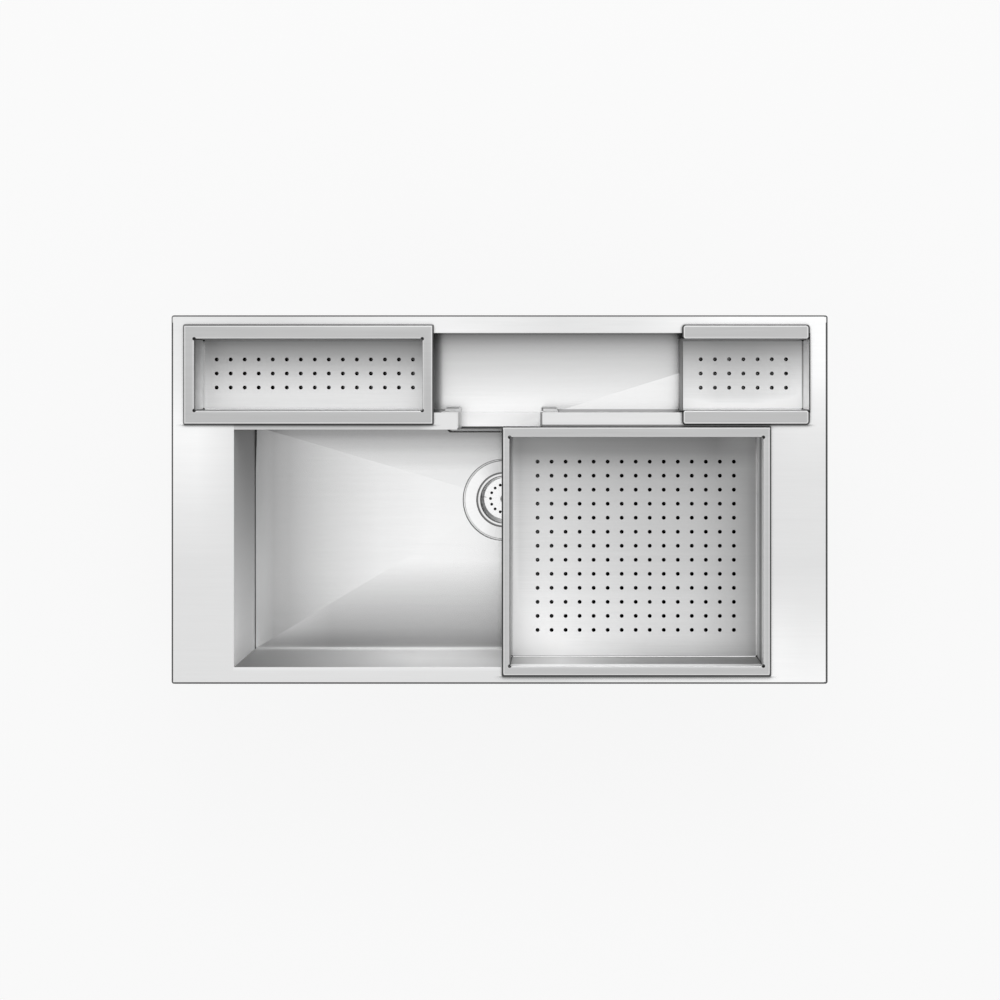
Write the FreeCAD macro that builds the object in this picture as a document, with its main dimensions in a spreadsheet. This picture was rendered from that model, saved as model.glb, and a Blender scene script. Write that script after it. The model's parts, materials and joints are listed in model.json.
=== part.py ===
import FreeCAD, Part
import os
import re
import Sketcher

# Inset workstation sink: one bowl, a rear channel that spills into it, three perforated trays.
# Millimetres. X runs along the sink, Y to the back, Z up. The origin is the middle of the deck,
# at the height of the worktop that the sink drops into.

SIZES = {
    # Deck sheet and the seal under its edge
    "deck_length": 890,
    "deck_width": 500,
    "deck_thickness": 1.2,
    "deck_corner_radius": 3.5,
    "seal_thickness": 1.5,
    "seal_width": 9,
    "seal_gap": 0.3,
    # Bowl
    "sheet": 1,
    "front_border": 23,
    "bowl_end_border": 85,
    "bowl_depth": 178,
    "bowl_floor_drop": 9,
    "drain_from_back": 107,
    "recess_radius": 59.2,
    "recess_depth": 3.2,
    # Rear channel and the spillway from it into the bowl
    "ledge_width": 23,
    "channel_border": 24,
    "channel_width": 108,
    "channel_depth": 75,
    "channel_floor_drop": 6,
    "spillway_length": 112,
    "spill_lip": 1,
    "liner_flange": 23.3,
    "liner_flange_top": 4,
    "liner_foot_depth": 5.5,
    "liner_foot_rise": 7,
    "liner_foot_slant": 3,
    # Overflow
    "cover_length": 158.6,
    "cover_depth": 6.5,
    "cover_height": 46,
    "cover_below_lip": 5,
    "cover_slot_length": 18,
    "cover_slot_height": 3,
    "cover_slot_pitch": 26,
    "cover_slot_count": 5,
    "port_length": 48,
    "port_height": 14,
    "port_below_lip": 24,
    "gasket_thickness": 2,
    "housing_length": 92,
    "housing_height": 34,
    "housing_depth": 26,
    "housing_wall": 2.5,
    "overflow_screw_spacing": 68,
    "overflow_screw_radius": 2,
    "overflow_head_radius": 4,
    "overflow_head_height": 2,
    "screw_hole_gap": 0.2,
    "spigot_radius": 10,
    "spigot_wall": 2,
    "spigot_length": 22,
    "pipe_gap": 0.1,
    "pipe_wall": 2,
    "pipe_bend_radius": 32,
    "pipe_overlap": 16,
    # Basket strainer
    "strainer_flange_radius": 57,
    "strainer_flange_thickness": 1.4,
    "strainer_seal_thickness": 1,
    "strainer_seal_width": 9,
    "strainer_mouth_radius": 40,
    "strainer_shoulder_radius": 36.5,
    "strainer_shoulder_drop": 3.5,
    "strainer_depth": 42,
    "strainer_wall": 1.2,
    "strainer_taper": 1.5,
    "strainer_outlet_radius": 18,
    "strainer_neck_radius": 28,
    "strainer_neck_length": 16,
    "hole_clearance": 2,
    "thread_run": 4,
    "under_seal_thickness": 2.5,
    "under_seal_rim": 2,
    "ring_nut_radius": 52,
    "ring_nut_height": 9,
    "ring_nut_lugs": 8,
    "ring_nut_lug_depth": 4,
    "ring_nut_lug_width": 10,
    "thread_gap": 0.05,
    # Waste outlet below the strainer
    "washer_thickness": 1.5,
    "collar_height": 4.5,
    "outlet_bore_radius": 20,
    "outlet_neck_radius": 25,
    "outlet_neck_length": 34,
    "outlet_radius": 23.9,
    "outlet_length": 42,
    "union_wall": 5,
    "union_flange": 4,
    "union_grip": 9,
    "collar_gap": 0.5,
    "branch_drop": 17,
    "branch_reach": 52,
    # Basket
    "basket_rim_gap": 0.3,
    "basket_sheet": 0.8,
    "basket_radius": 34,
    "basket_floor_radius": 30,
    "basket_depth": 27,
    "basket_hole_radius": 2,
    "basket_hole_circle": 20.6,
    "basket_hole_count": 15,
    "knob_radius": 6,
    "knob_top_radius": 3.6,
    "knob_bevel": 2,
    "knob_height": 6,
    "knob_rise": 16,
    "stem_radius": 3,
    "stopper_radius": 17.6,
    "stopper_thickness": 3,
    # Sound pads
    "pad_thickness": 3,
    "pad_margin": 42,
    "pad_height": 96,
    "pad_below_deck": 72,
    # Fixing studs, nuts and claws
    "stud_radius": 3,
    "stud_length": 62,
    "stud_foot_radius": 4.5,
    "stud_foot_thickness": 1.5,
    "stud_inset": 15.5,
    "outer_stud_inset": 145,
    "claw_width": 12,
    "claw_length": 36,
    "claw_thickness": 2.5,
    "claw_toe": 8,
    "claw_below_deck": 44,
    "claw_running_gap": 0.05,
    "claw_round_share": 0.98,
    "nut_flats": 10,
    "nut_sides": 6,
    "nut_height": 5,
    # Perforated trays
    "tray_sheet": 1,
    "rim_height": 4,
    "rim_side": 18.7,
    "hole_radius": 2.7,
    "hole_facets": 8,
    "relief_radius": 1.6,
    "tray_gap": 1.6,
    "large_back_rest": 4.7,
    "large_front_rest": 12.9,
    "large_end_rest": 8.2,
    "large_length": 365.4,
    "large_depth": 84,
    "large_rim": 14,
    "large_end_rim": 10,
    "large_columns": 15,
    "large_rows": 13,
    "large_start_margin": 37,
    "large_end_margin": 32,
    "large_side_margin": 37.2,
    "channel_back_rest": 11.7,
    "long_end_rest": 7.7,
    "long_length": 339.7,
    "long_rim": 14.5,
    "small_depth": 65,
    "long_columns": 15,
    "long_end_margin": 17.15,
    "small_rows": 3,
    "small_side_margin": 28.9,
    "short_end_gap": 1,
    "short_length": 172.6,
    "short_columns": 7,
    "short_start_margin": 30.8,
    "short_end_margin": 22.2,
    "short_corner_radius": 4,
    "tray_corner_radius": 1.5,
    # One overrun for cuts that pass right through
    "overrun": 5,
}

# Places worked out from the sizes, each a sum of the names above or of places before it
PLACES = {
    "deck_under": "seal_thickness",
    "deck_top": "seal_thickness + deck_thickness",
    "bowl_front": "front_border - deck_width/2",
    "bowl_end": "deck_length/2 - bowl_end_border",
    "channel_back": "deck_width/2 - channel_border",
    "channel_end": "deck_length/2 - channel_border",
    "channel_front": "channel_back - channel_width",
    "bowl_back": "channel_front - ledge_width",
    "bowl_edge": "deck_top - bowl_depth",
    "drain_back": "bowl_back - drain_from_back",
    "drain_level": "bowl_edge - bowl_floor_drop",
    "recess_level": "drain_level - recess_depth",
    "channel_edge": "deck_top - channel_depth",
    "spill_level": "channel_edge - channel_floor_drop",
    "spill_front": "bowl_back - spill_lip",
    "spill_end": "spillway_length/2",
    "port_level": "spill_level - port_below_lip",
    "cover_top": "spill_level - cover_below_lip",
    "cover_front": "bowl_back - cover_depth",
    "wall_outside": "bowl_back + sheet",
    "gasket_back": "wall_outside + gasket_thickness",
    "housing_back": "gasket_back + housing_depth",
    "housing_low": "port_level - housing_height/2",
    "spigot_centre": "housing_back - housing_wall - spigot_radius",
    "flange_under": "recess_level + strainer_seal_thickness",
    "flange_top": "flange_under + strainer_flange_thickness",
    "strainer_outside": "strainer_shoulder_radius + strainer_wall",
    "thread_radius": "strainer_mouth_radius + strainer_wall",
    "floor_hole_radius": "thread_radius + hole_clearance",
    "shoulder_level": "flange_top - strainer_shoulder_drop",
    "strainer_floor": "flange_top - strainer_depth",
    "neck_low": "strainer_floor - strainer_neck_length",
    "recess_under": "recess_level - sheet",
    "under_seal_low": "recess_under - under_seal_thickness",
    "ring_nut_low": "under_seal_low - ring_nut_height",
    "collar_top": "neck_low - washer_thickness",
    "collar_low": "collar_top - collar_height",
    "outlet_neck_low": "collar_low - outlet_neck_length",
    "outlet_low": "outlet_neck_low - outlet_length",
    "branch_level": "collar_low - branch_drop",
    "branch_back": "drain_back + branch_reach",
    "basket_rim_radius": "strainer_mouth_radius - basket_rim_gap",
    "basket_rim_top": "shoulder_level + basket_sheet",
    "basket_low": "basket_rim_top - basket_depth",
    "rim_top": "deck_top + rim_height",
    "large_right": "bowl_end + large_end_rest",
    "large_front": "bowl_front - large_front_rest",
    "large_back": "bowl_back + large_back_rest",
    "small_front": "large_back + tray_gap",
    "small_back": "channel_back + channel_back_rest",
    "long_left": "-channel_end - long_end_rest",
    "short_right": "channel_end - short_end_gap",
    "stud_end": "deck_length/2 - stud_inset",
    "outer_stud": "deck_length/2 - outer_stud_inset",
    "stud_back": "deck_width/2 - stud_inset",
    "stud_low": "deck_under - stud_length",
    "claw_top": "deck_under - claw_below_deck",
    "claw_low": "claw_top - claw_thickness",
}

doc = FreeCAD.newDocument("workstation_sink")
sheet = doc.addObject("Spreadsheet::Sheet", "Sizes")
for row, (name, value) in enumerate(SIZES.items(), start=1):
    sheet.set(f"A{row}", name)
    sheet.set(f"B{row}", str(value))
    sheet.setAlias(f"B{row}", name)
doc.recompute()

nodes = []


def of(text):
    """The expression on the sheet for a sum of named sizes and places."""
    def swap(match):
        word = match.group(0)
        if word in PLACES:
            return "(" + of(PLACES[word]) + ")"
        if word in SIZES:
            return "Sizes." + word
        return word
    return re.sub(r"[a-z][a-z0-9_]*", swap, str(text))


def amount(text):
    """The value that a sum of named sizes has now."""
    return float(sheet.evalExpression(of(text)))


def bind(thing, **sums):
    for prop, text in sums.items():
        thing.setExpression(prop.replace("__", "."), of(text))
    return thing


def place(thing, x="0", y="0", z="0"):
    return bind(thing, Placement__Base__x=x, Placement__Base__y=y, Placement__Base__z=z)


def node(thing, label):
    """Name a finished sub-part, which gives its file its name."""
    thing.Label = label
    nodes.append(thing)
    return thing


# Part primitives and booleans


def box(name, x, y, z):
    """A block between two sums on each axis."""
    block = doc.addObject("Part::Box", name)
    bind(block, Length=f"({x[1]}) - ({x[0]})", Width=f"({y[1]}) - ({y[0]})",
         Height=f"({z[1]}) - ({z[0]})")
    return place(block, x[0], y[0], z[0])


def round_bar(name, radius, low, high, x="0", y="0"):
    bar = doc.addObject("Part::Cylinder", name)
    bind(bar, Radius=radius, Height=f"({high}) - ({low})")
    return place(bar, x, y, low)


def level_bar(name, radius, front, back, x, z):
    """A round bar that lies along Y."""
    bar = doc.addObject("Part::Cylinder", name)
    bar.Placement.Rotation = FreeCAD.Rotation(FreeCAD.Vector(1, 0, 0), -90)
    bind(bar, Radius=radius, Height=f"({back}) - ({front})")
    return place(bar, x, front, z)


def fuse(name, *shapes):
    joined = doc.addObject("Part::MultiFuse", name)
    joined.Shapes = list(shapes)
    joined.Refine = True
    return joined


def cut(name, base, *tools):
    result = doc.addObject("Part::Cut", name)
    result.Base = base
    result.Tool = tools[0] if len(tools) == 1 else fuse(name + "_tools", *tools)
    result.Refine = True
    return result


def common(name, base, tool):
    result = doc.addObject("Part::Common", name)
    result.Base = base
    result.Tool = tool
    result.Refine = True
    return result


def basin(name, x, y, apex_y, edge, drop):
    """The space over a cross-broken floor: four flat facets that fall to one low point."""
    wedge = doc.addObject("Part::Wedge", name)
    wedge.Placement.Rotation = FreeCAD.Rotation(FreeCAD.Vector(1, 0, 0), -90)
    bind(wedge, Xmin=x[0], Xmax=x[1], Zmin=y[0], Zmax=y[1], Ymin="0", Ymax=drop,
         X2min="0", X2max="0", Z2min=apex_y, Z2max=apex_y)
    return place(wedge, z=edge)


def frame_of(name, x, y, z, wall):
    """Four upright walls round an open space, given by its inner faces."""
    outer = box(name + "_outer", (f"{x[0]} - {wall}", f"{x[1]} + {wall}"),
                (f"{y[0]} - {wall}", f"{y[1]} + {wall}"), z)
    inner = box(name + "_inner", x, y, (f"{z[0]} - overrun", f"{z[1]} + overrun"))
    return outer, inner


# Sketched bodies


def new_body(label):
    return node(doc.addObject("PartDesign::Body", label), label)


def sketch(body, name, plane="XY_Plane", level="0"):
    drawing = body.newObject("Sketcher::SketchObject", name)
    origin_plane = [item for item in body.Origin.OriginFeatures if item.Role == plane][0]
    drawing.AttachmentSupport = [(origin_plane, "")]
    drawing.MapMode = "FlatFace"
    drawing.setExpression("AttachmentOffset.Base.z", of(level))
    return drawing


def pin_point(drawing, item, position, x, y):
    """Tie a point of the drawing to two sums, measured from the sketch's origin."""
    for kind, text in (("DistanceX", x), ("DistanceY", y)):
        rule = Sketcher.Constraint(kind, -1, 1, item, position, amount(text))
        number = drawing.addConstraint(rule)
        drawing.setExpression(f"Constraints[{number}]", of(text))


def outline(drawing, corners):
    """A closed run of straight lines through corners given as pairs of sums."""
    points = [FreeCAD.Vector(amount(x), amount(y), 0) for x, y in corners]
    count = len(points)
    first = drawing.GeometryCount
    for index in range(count):
        line = Part.LineSegment(points[index], points[(index + 1) % count])
        drawing.addGeometry(line, False)
    for index in range(count):
        follower = first + (index + 1) % count
        drawing.addConstraint(Sketcher.Constraint("Coincident", first + index, 2, follower, 1))
    for index, (x, y) in enumerate(corners):
        pin_point(drawing, first + index, 1, x, y)
    return drawing


def rectangle(drawing, x, y):
    return outline(drawing, [(x[0], y[0]), (x[1], y[0]), (x[1], y[1]), (x[0], y[1])])


def circle(drawing, x, y, radius):
    centre = FreeCAD.Vector(amount(x), amount(y), 0)
    ring = Part.Circle(centre, FreeCAD.Vector(0, 0, 1), amount(radius))
    item = drawing.addGeometry(ring, False)
    pin_point(drawing, item, 3, x, y)
    number = drawing.addConstraint(Sketcher.Constraint("Radius", item, amount(radius)))
    drawing.setExpression(f"Constraints[{number}]", of(radius))
    return drawing


def pad(body, drawing, length, name):
    feature = body.newObject("PartDesign::Pad", name)
    feature.Profile = drawing
    return bind(feature, Length=length)


def pocket(body, drawing, length, name):
    """A cut that runs down from the drawing."""
    feature = body.newObject("PartDesign::Pocket", name)
    feature.Profile = drawing
    return bind(feature, Length=length)


def turned(body, corners, name):
    """A body turned about its own Z axis from half a section of (radius, height) corners."""
    drawing = outline(sketch(body, name + "_section", "XZ_Plane"), corners)
    feature = body.newObject("PartDesign::Revolution", name)
    feature.Profile = drawing
    feature.ReferenceAxis = (drawing, ["V_Axis"])
    feature.Angle = 360
    return feature


def ring_pattern(body, feature, count, name):
    """Copies of a feature spaced evenly round the body's Z axis."""
    pattern = body.newObject("PartDesign::PolarPattern", name)
    pattern.Originals = [feature]
    axis = [item for item in body.Origin.OriginFeatures if item.Role == "Z_Axis"][0]
    pattern.Axis = (axis, [""])
    pattern.Angle = 360
    bind(pattern, Occurrences=count)
    body.Tip = pattern
    return pattern


def upright_edges(feature, x, y):
    """Names of the feature's upright edges that stand at one of the given plan corners."""
    names = []
    for index, edge in enumerate(feature.Shape.Edges, start=1):
        low, high = edge.BoundBox.ZMin, edge.BoundBox.ZMax
        upright = high - low > edge.Length * (1 - 1e-6)
        centre = edge.CenterOfMass
        at_x = any(abs(centre.x - amount(text)) < amount("sheet/10") for text in x)
        at_y = any(abs(centre.y - amount(text)) < amount("sheet/10") for text in y)
        if upright and at_x and at_y:
            names.append(f"Edge{index}")
    return names


def round_corners(body, feature, x, y, radius, name):
    doc.recompute()
    rounding = body.newObject("PartDesign::Fillet", name)
    rounding.Base = (feature, upright_edges(feature, x, y))
    return bind(rounding, Radius=radius)


# Deck: one flat sheet whose edge is turned down to the worktop, cut out for bowl and channel


def make_deck():
    body = new_body("deck_plate")
    x = ("-deck_length/2", "deck_length/2")
    y = ("-deck_width/2", "deck_width/2")
    blank = pad(body, rectangle(sketch(body, "deck_outline"), x, y), "deck_top", "deck_blank")
    round_corners(body, blank, x, y, "deck_corner_radius", "deck_corners")
    doc.recompute()
    hollow = sketch(body, "deck_hollow", level="deck_under")
    rectangle(hollow, (f"{x[0]} + deck_thickness", f"{x[1]} - deck_thickness"),
              (f"{y[0]} + deck_thickness", f"{y[1]} - deck_thickness"))
    pocket(body, hollow, "deck_under", "deck_turned_edge")
    opening = sketch(body, "deck_opening", level="deck_top")
    outline(opening, [
        ("-bowl_end", "bowl_front"), ("bowl_end", "bowl_front"),
        ("bowl_end", "bowl_back"), ("spill_end + sheet", "bowl_back"),
        ("spill_end + sheet", "channel_front"), ("channel_end", "channel_front"),
        ("channel_end", "channel_back"), ("-channel_end", "channel_back"),
        ("-channel_end", "channel_front"), ("-spill_end - sheet", "channel_front"),
        ("-spill_end - sheet", "bowl_back"), ("-bowl_end", "bowl_back")])
    pocket(body, opening, "deck_thickness", "deck_cutout")


def make_seal():
    end = "deck_length/2 - deck_thickness - seal_gap"
    side = "deck_width/2 - deck_thickness - seal_gap"
    outer = box("seal_outer", (f"-({end})", end), (f"-({side})", side), ("0", "seal_thickness"))
    inner = box("seal_inner", (f"-({end} - seal_width)", f"{end} - seal_width"),
                (f"-({side} - seal_width)", f"{side} - seal_width"),
                ("-overrun", "seal_thickness + overrun"))
    node(cut("seal", outer, inner), "worktop_seal")


# Bowl


def make_bowl():
    z = ("bowl_edge", "deck_under")
    outer_x = ("-bowl_end - sheet", "bowl_end + sheet")
    side_y = ("bowl_front", "bowl_back")
    node(box("bowl_left_sheet", ("-bowl_end - sheet", "-bowl_end"), side_y, z), "bowl_left_wall")
    node(box("bowl_right_sheet", ("bowl_end", "bowl_end + sheet"), side_y, z), "bowl_right_wall")
    front = box("bowl_front_sheet", outer_x, ("bowl_front - sheet", "bowl_front"), z)
    node(front, "bowl_front_wall")

    back = box("bowl_back_sheet", outer_x, ("bowl_back", "wall_outside"), z)
    gap = box("bowl_spill_gap", ("-spill_end - sheet", "spill_end + sheet"),
              ("bowl_back - overrun", "wall_outside + overrun"),
              ("spill_level - sheet", "deck_under + overrun"))
    port = box("bowl_port", ("-port_length/2", "port_length/2"),
               ("bowl_back - overrun", "wall_outside + overrun"),
               ("port_level - port_height/2", "port_level + port_height/2"))
    holes = [level_bar(f"bowl_screw_hole_{side}", "overflow_screw_radius + screw_hole_gap",
                       "bowl_back - overrun", "wall_outside + overrun",
                       f"{sign}overflow_screw_spacing/2", "port_level")
             for side, sign in (("left", "-"), ("right", ""))]
    node(cut("bowl_back", back, gap, port, *holes), "bowl_back_wall")

    flange = box("bowl_floor_flange", outer_x,
                 ("bowl_front - sheet", "wall_outside"), ("bowl_edge - sheet", "bowl_edge"))
    x = ("-bowl_end", "bowl_end")
    y = ("bowl_front", "bowl_back")
    under = basin("bowl_floor_under", x, y, "drain_back", "bowl_edge - sheet", "bowl_floor_drop")
    over = basin("bowl_floor_over", x, y, "drain_back", "bowl_edge", "bowl_floor_drop")
    dish = round_bar("bowl_dish", "recess_radius + sheet", "recess_under", "bowl_edge - sheet",
                     y="drain_back")
    recess = round_bar("bowl_recess", "recess_radius", "recess_level", "bowl_edge",
                       y="drain_back")
    hole = round_bar("bowl_drain_hole", "floor_hole_radius", "recess_under - overrun",
                     "bowl_edge", y="drain_back")
    blank = fuse("bowl_floor_blank", flange, under, dish)
    node(cut("bowl_floor_sheet", blank, over, recess, hole), "bowl_floor")


# Rear channel, its cross-broken floor and the liner of the spillway


def channel_basin(name, edge):
    return basin(name, ("-channel_end", "channel_end"), ("spill_front", "channel_back"),
                 "spill_front", edge, "channel_floor_drop")


def make_channel():
    outer, inner = frame_of("channel", ("-channel_end", "channel_end"),
                            ("channel_front", "channel_back"), ("channel_edge", "deck_under"),
                            "sheet")
    gap = box("channel_spill_gap", ("-spill_end - sheet", "spill_end + sheet"),
              ("channel_front - sheet - overrun", "channel_front + overrun"),
              ("spill_level - sheet", "deck_under + overrun"))
    skirt = box("channel_front_skirt", ("-channel_end - sheet", "channel_end + sheet"),
                ("channel_front - sheet", "channel_front"),
                ("spill_level - sheet", "channel_edge"))
    trimmed = common("channel_skirt_trim", skirt,
                     channel_basin("channel_skirt_over", "channel_edge"))
    sides = cut("channel_sides", outer, inner)
    node(cut("channel_wall_sheet", fuse("channel_walls_joined", sides, trimmed), gap),
         "channel_walls")


def make_channel_floor():
    plate = box("channel_floor_flange", ("-channel_end - sheet", "channel_end + sheet"),
                ("channel_front - sheet", "channel_back + sheet"),
                ("channel_edge - sheet", "channel_edge"))
    blank = fuse("channel_floor_blank", plate, channel_basin("channel_floor_under",
                                                             "channel_edge - sheet"))
    over = channel_basin("channel_floor_over", "channel_edge")
    front = box("channel_floor_front", ("-channel_end - overrun", "channel_end + overrun"),
                ("spill_front - overrun", "channel_front - sheet"),
                ("spill_level - sheet - overrun", "channel_edge + overrun"))
    node(cut("channel_floor_sheet", blank, over, front), "channel_floor")


def make_liner():
    outer_x = ("-spill_end - sheet", "spill_end + sheet")
    floor_y = ("spill_front", "channel_front - sheet")
    bend_y = ("channel_front - sheet", "channel_front")
    block = box("liner_block", outer_x, floor_y, ("spill_level - sheet", "channel_edge"))
    plate = box("liner_plate", outer_x, floor_y, ("channel_edge - sheet", "channel_edge"))
    under = fuse("liner_floor_blank", plate, channel_basin("liner_floor_under",
                                                           "channel_edge - sheet"))
    foot_block = box("liner_cheek_foot", outer_x, bend_y, ("spill_level", "channel_edge"))
    parts = [
        common("liner_floor", block, under),
        common("liner_cheek_end", foot_block, channel_basin("liner_cheek_over", "channel_edge")),
        box("liner_cheeks", outer_x, ("spill_front", "channel_front"),
            ("channel_edge - sheet", "deck_top")),
    ]
    for side, sign in (("left", "-"), ("right", "")):
        near = f"{sign}spill_end"
        far = f"{sign}(spill_end + liner_flange)"
        x = (far, near) if side == "left" else (near, far)
        parts.append(box(f"liner_flange_{side}", x, ("channel_front", "channel_front + sheet"),
                         ("channel_edge + liner_foot_rise - sheet",
                          "deck_under - liner_flange_top")))
        parts.append(liner_foot(side, sign, near, far))
    hollow = box("liner_hollow", ("-spill_end", "spill_end"),
                 ("spill_front - overrun", "channel_front + overrun"),
                 ("channel_edge", "deck_top + overrun"))
    space = common("liner_floor_space", channel_basin("liner_floor_over", "channel_edge"),
                   box("liner_floor_width", ("-spill_end", "spill_end"),
                       ("spill_front - overrun", "channel_front + overrun"),
                       ("spill_level - overrun", "channel_edge")))
    node(cut("liner_sheet", fuse("liner_blank", *parts), hollow, space), "spillway_liner")


def liner_foot(side, sign, near, far):
    """The flange's foot, turned out level with its outer end mitred."""
    body = doc.addObject("PartDesign::Body", f"liner_foot_{side}")
    drawing = sketch(body, f"liner_foot_outline_{side}",
                     level="channel_edge + liner_foot_rise - sheet")
    outline(drawing, [(near, "channel_front"), (far, "channel_front"),
                      (f"{sign}(spill_end + liner_flange - liner_foot_slant)",
                       "channel_front + liner_foot_depth"),
                      (near, "channel_front + liner_foot_depth")])
    pad(body, drawing, "sheet", f"liner_foot_pad_{side}")
    return body


# Overflow: a cover in the bowl, a port in its wall, a housing and a pipe behind it


def make_overflow_cover():
    body = new_body("overflow_cover")
    drawing = sketch(body, "cover_outline", level="cover_top - cover_height")
    end = "cover_length/2"
    face_end = "(cover_length/2 - cover_depth)"
    seat = "(cover_length/2 - sheet*sqrt(2))"
    inner_end = "(cover_length/2 - cover_depth - sheet*(sqrt(2) - 1))"
    inner_face = "cover_front + sheet"
    outline(drawing, [
        (f"-{end}", "bowl_back"), (f"-{face_end}", "cover_front"), (face_end, "cover_front"),
        (end, "bowl_back"), (seat, "bowl_back"), (inner_end, inner_face),
        (f"-{inner_end}", inner_face), (f"-{seat}", "bowl_back")])
    pad(body, drawing, "cover_height", "cover_shell")
    doc.recompute()
    slot = sketch(body, "cover_slot", "XZ_Plane", "-(cover_front - overrun)")
    first = "-(cover_slot_count - 1)*cover_slot_pitch/2"
    low = "cover_top - cover_height/2"
    rectangle(slot, (f"{first} - cover_slot_length/2", f"{first} + cover_slot_length/2"),
              (low, f"{low} + cover_slot_height"))
    opening = pocket(body, slot, "2*overrun", "cover_slots")
    opening.Midplane = True
    doc.recompute()
    pattern = body.newObject("PartDesign::LinearPattern", "cover_slot_row")
    pattern.Originals = [opening]
    pattern.Direction = (slot, ["H_Axis"])
    bind(pattern, Length="(cover_slot_count - 1)*cover_slot_pitch", Occurrences="cover_slot_count")
    body.Tip = pattern


def make_overflow_parts():
    x = ("-housing_length/2", "housing_length/2")
    z = ("housing_low", "housing_low + housing_height")
    port_x = ("-port_length/2", "port_length/2")
    port_z = ("port_level - port_height/2", "port_level + port_height/2")

    def screw_bars(name, radius, front, back):
        return [level_bar(f"{name}_{side}", radius, front, back,
                          f"{sign}overflow_screw_spacing/2", "port_level")
                for side, sign in (("left", "-"), ("right", ""))]

    gasket = box("gasket_block", x, ("wall_outside", "gasket_back"), z)
    window = box("gasket_window", port_x, ("wall_outside - overrun", "gasket_back + overrun"),
                 port_z)
    holes = screw_bars("gasket_hole", "overflow_screw_radius + screw_hole_gap",
                       "wall_outside - overrun", "gasket_back + overrun")
    node(cut("gasket", gasket, window, *holes), "overflow_gasket")

    block = box("housing_block", x, ("gasket_back", "housing_back"), z)
    hollow = box("housing_hollow", port_x,
                 ("gasket_back - overrun", "housing_back - housing_wall"),
                 ("housing_low + housing_wall", "housing_low + housing_height - housing_wall"))
    pilots = screw_bars("housing_pilot", "overflow_screw_radius + screw_hole_gap",
                        "gasket_back - overrun", "gasket_back + housing_depth/2")
    spigot = round_bar("housing_spigot", "spigot_radius", "housing_low - spigot_length",
                       "housing_low + housing_wall", y="spigot_centre")
    bore = round_bar("housing_bore", "spigot_radius - spigot_wall",
                     "housing_low - spigot_length - overrun", "port_level", y="spigot_centre")
    body = cut("housing_body", fuse("housing_joined", block, spigot), hollow, bore, *pilots)
    node(body, "overflow_housing")

    screws = []
    for side, sign in (("left", "-"), ("right", "")):
        at = f"{sign}overflow_screw_spacing/2"
        head = level_bar(f"screw_head_{side}", "overflow_head_radius",
                         "bowl_back - overflow_head_height", "bowl_back", at, "port_level")
        shank = level_bar(f"screw_shank_{side}", "overflow_screw_radius", "bowl_back",
                          "gasket_back + housing_depth/2 - sheet", at, "port_level")
        screws.append(fuse(f"screw_{side}", head, shank))
    pair = doc.addObject("Part::Compound", "screw_pair")
    pair.Links = screws
    node(pair, "overflow_screws")


def bent_pipe(name, radius, end_run):
    """A quarter bend between an upright leg and a level leg, drawn as a solid rod."""
    low = "branch_level + pipe_bend_radius"
    top = "housing_low - spigot_length + pipe_overlap"
    upright = round_bar(name + "_upright", radius, low, f"{top} + {end_run}", y="spigot_centre")
    level = level_bar(name + "_level", radius, f"branch_back - pipe_overlap - {end_run}",
                      "spigot_centre - pipe_bend_radius", "0", "branch_level")
    bend = doc.addObject("Part::Torus", name + "_bend")
    bend.Placement.Rotation = FreeCAD.Rotation(FreeCAD.Vector(0, 1, 0), 90)
    bind(bend, Radius1="pipe_bend_radius", Radius2=radius)
    bend.Angle3 = 90
    place(bend, "0", "spigot_centre - pipe_bend_radius", low)
    return fuse(name, upright, level, bend)


def make_overflow_pipe():
    outside = bent_pipe("pipe_outside", "spigot_radius + pipe_gap + pipe_wall", "0")
    inside = bent_pipe("pipe_inside", "spigot_radius + pipe_gap", "overrun")
    node(cut("pipe_wall_shape", outside, inside), "overflow_pipe")


# Basket strainer: a flanged cup in the floor, held by a ring nut from below


def at_drain(body):
    place(body, y="drain_back")
    return body


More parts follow.
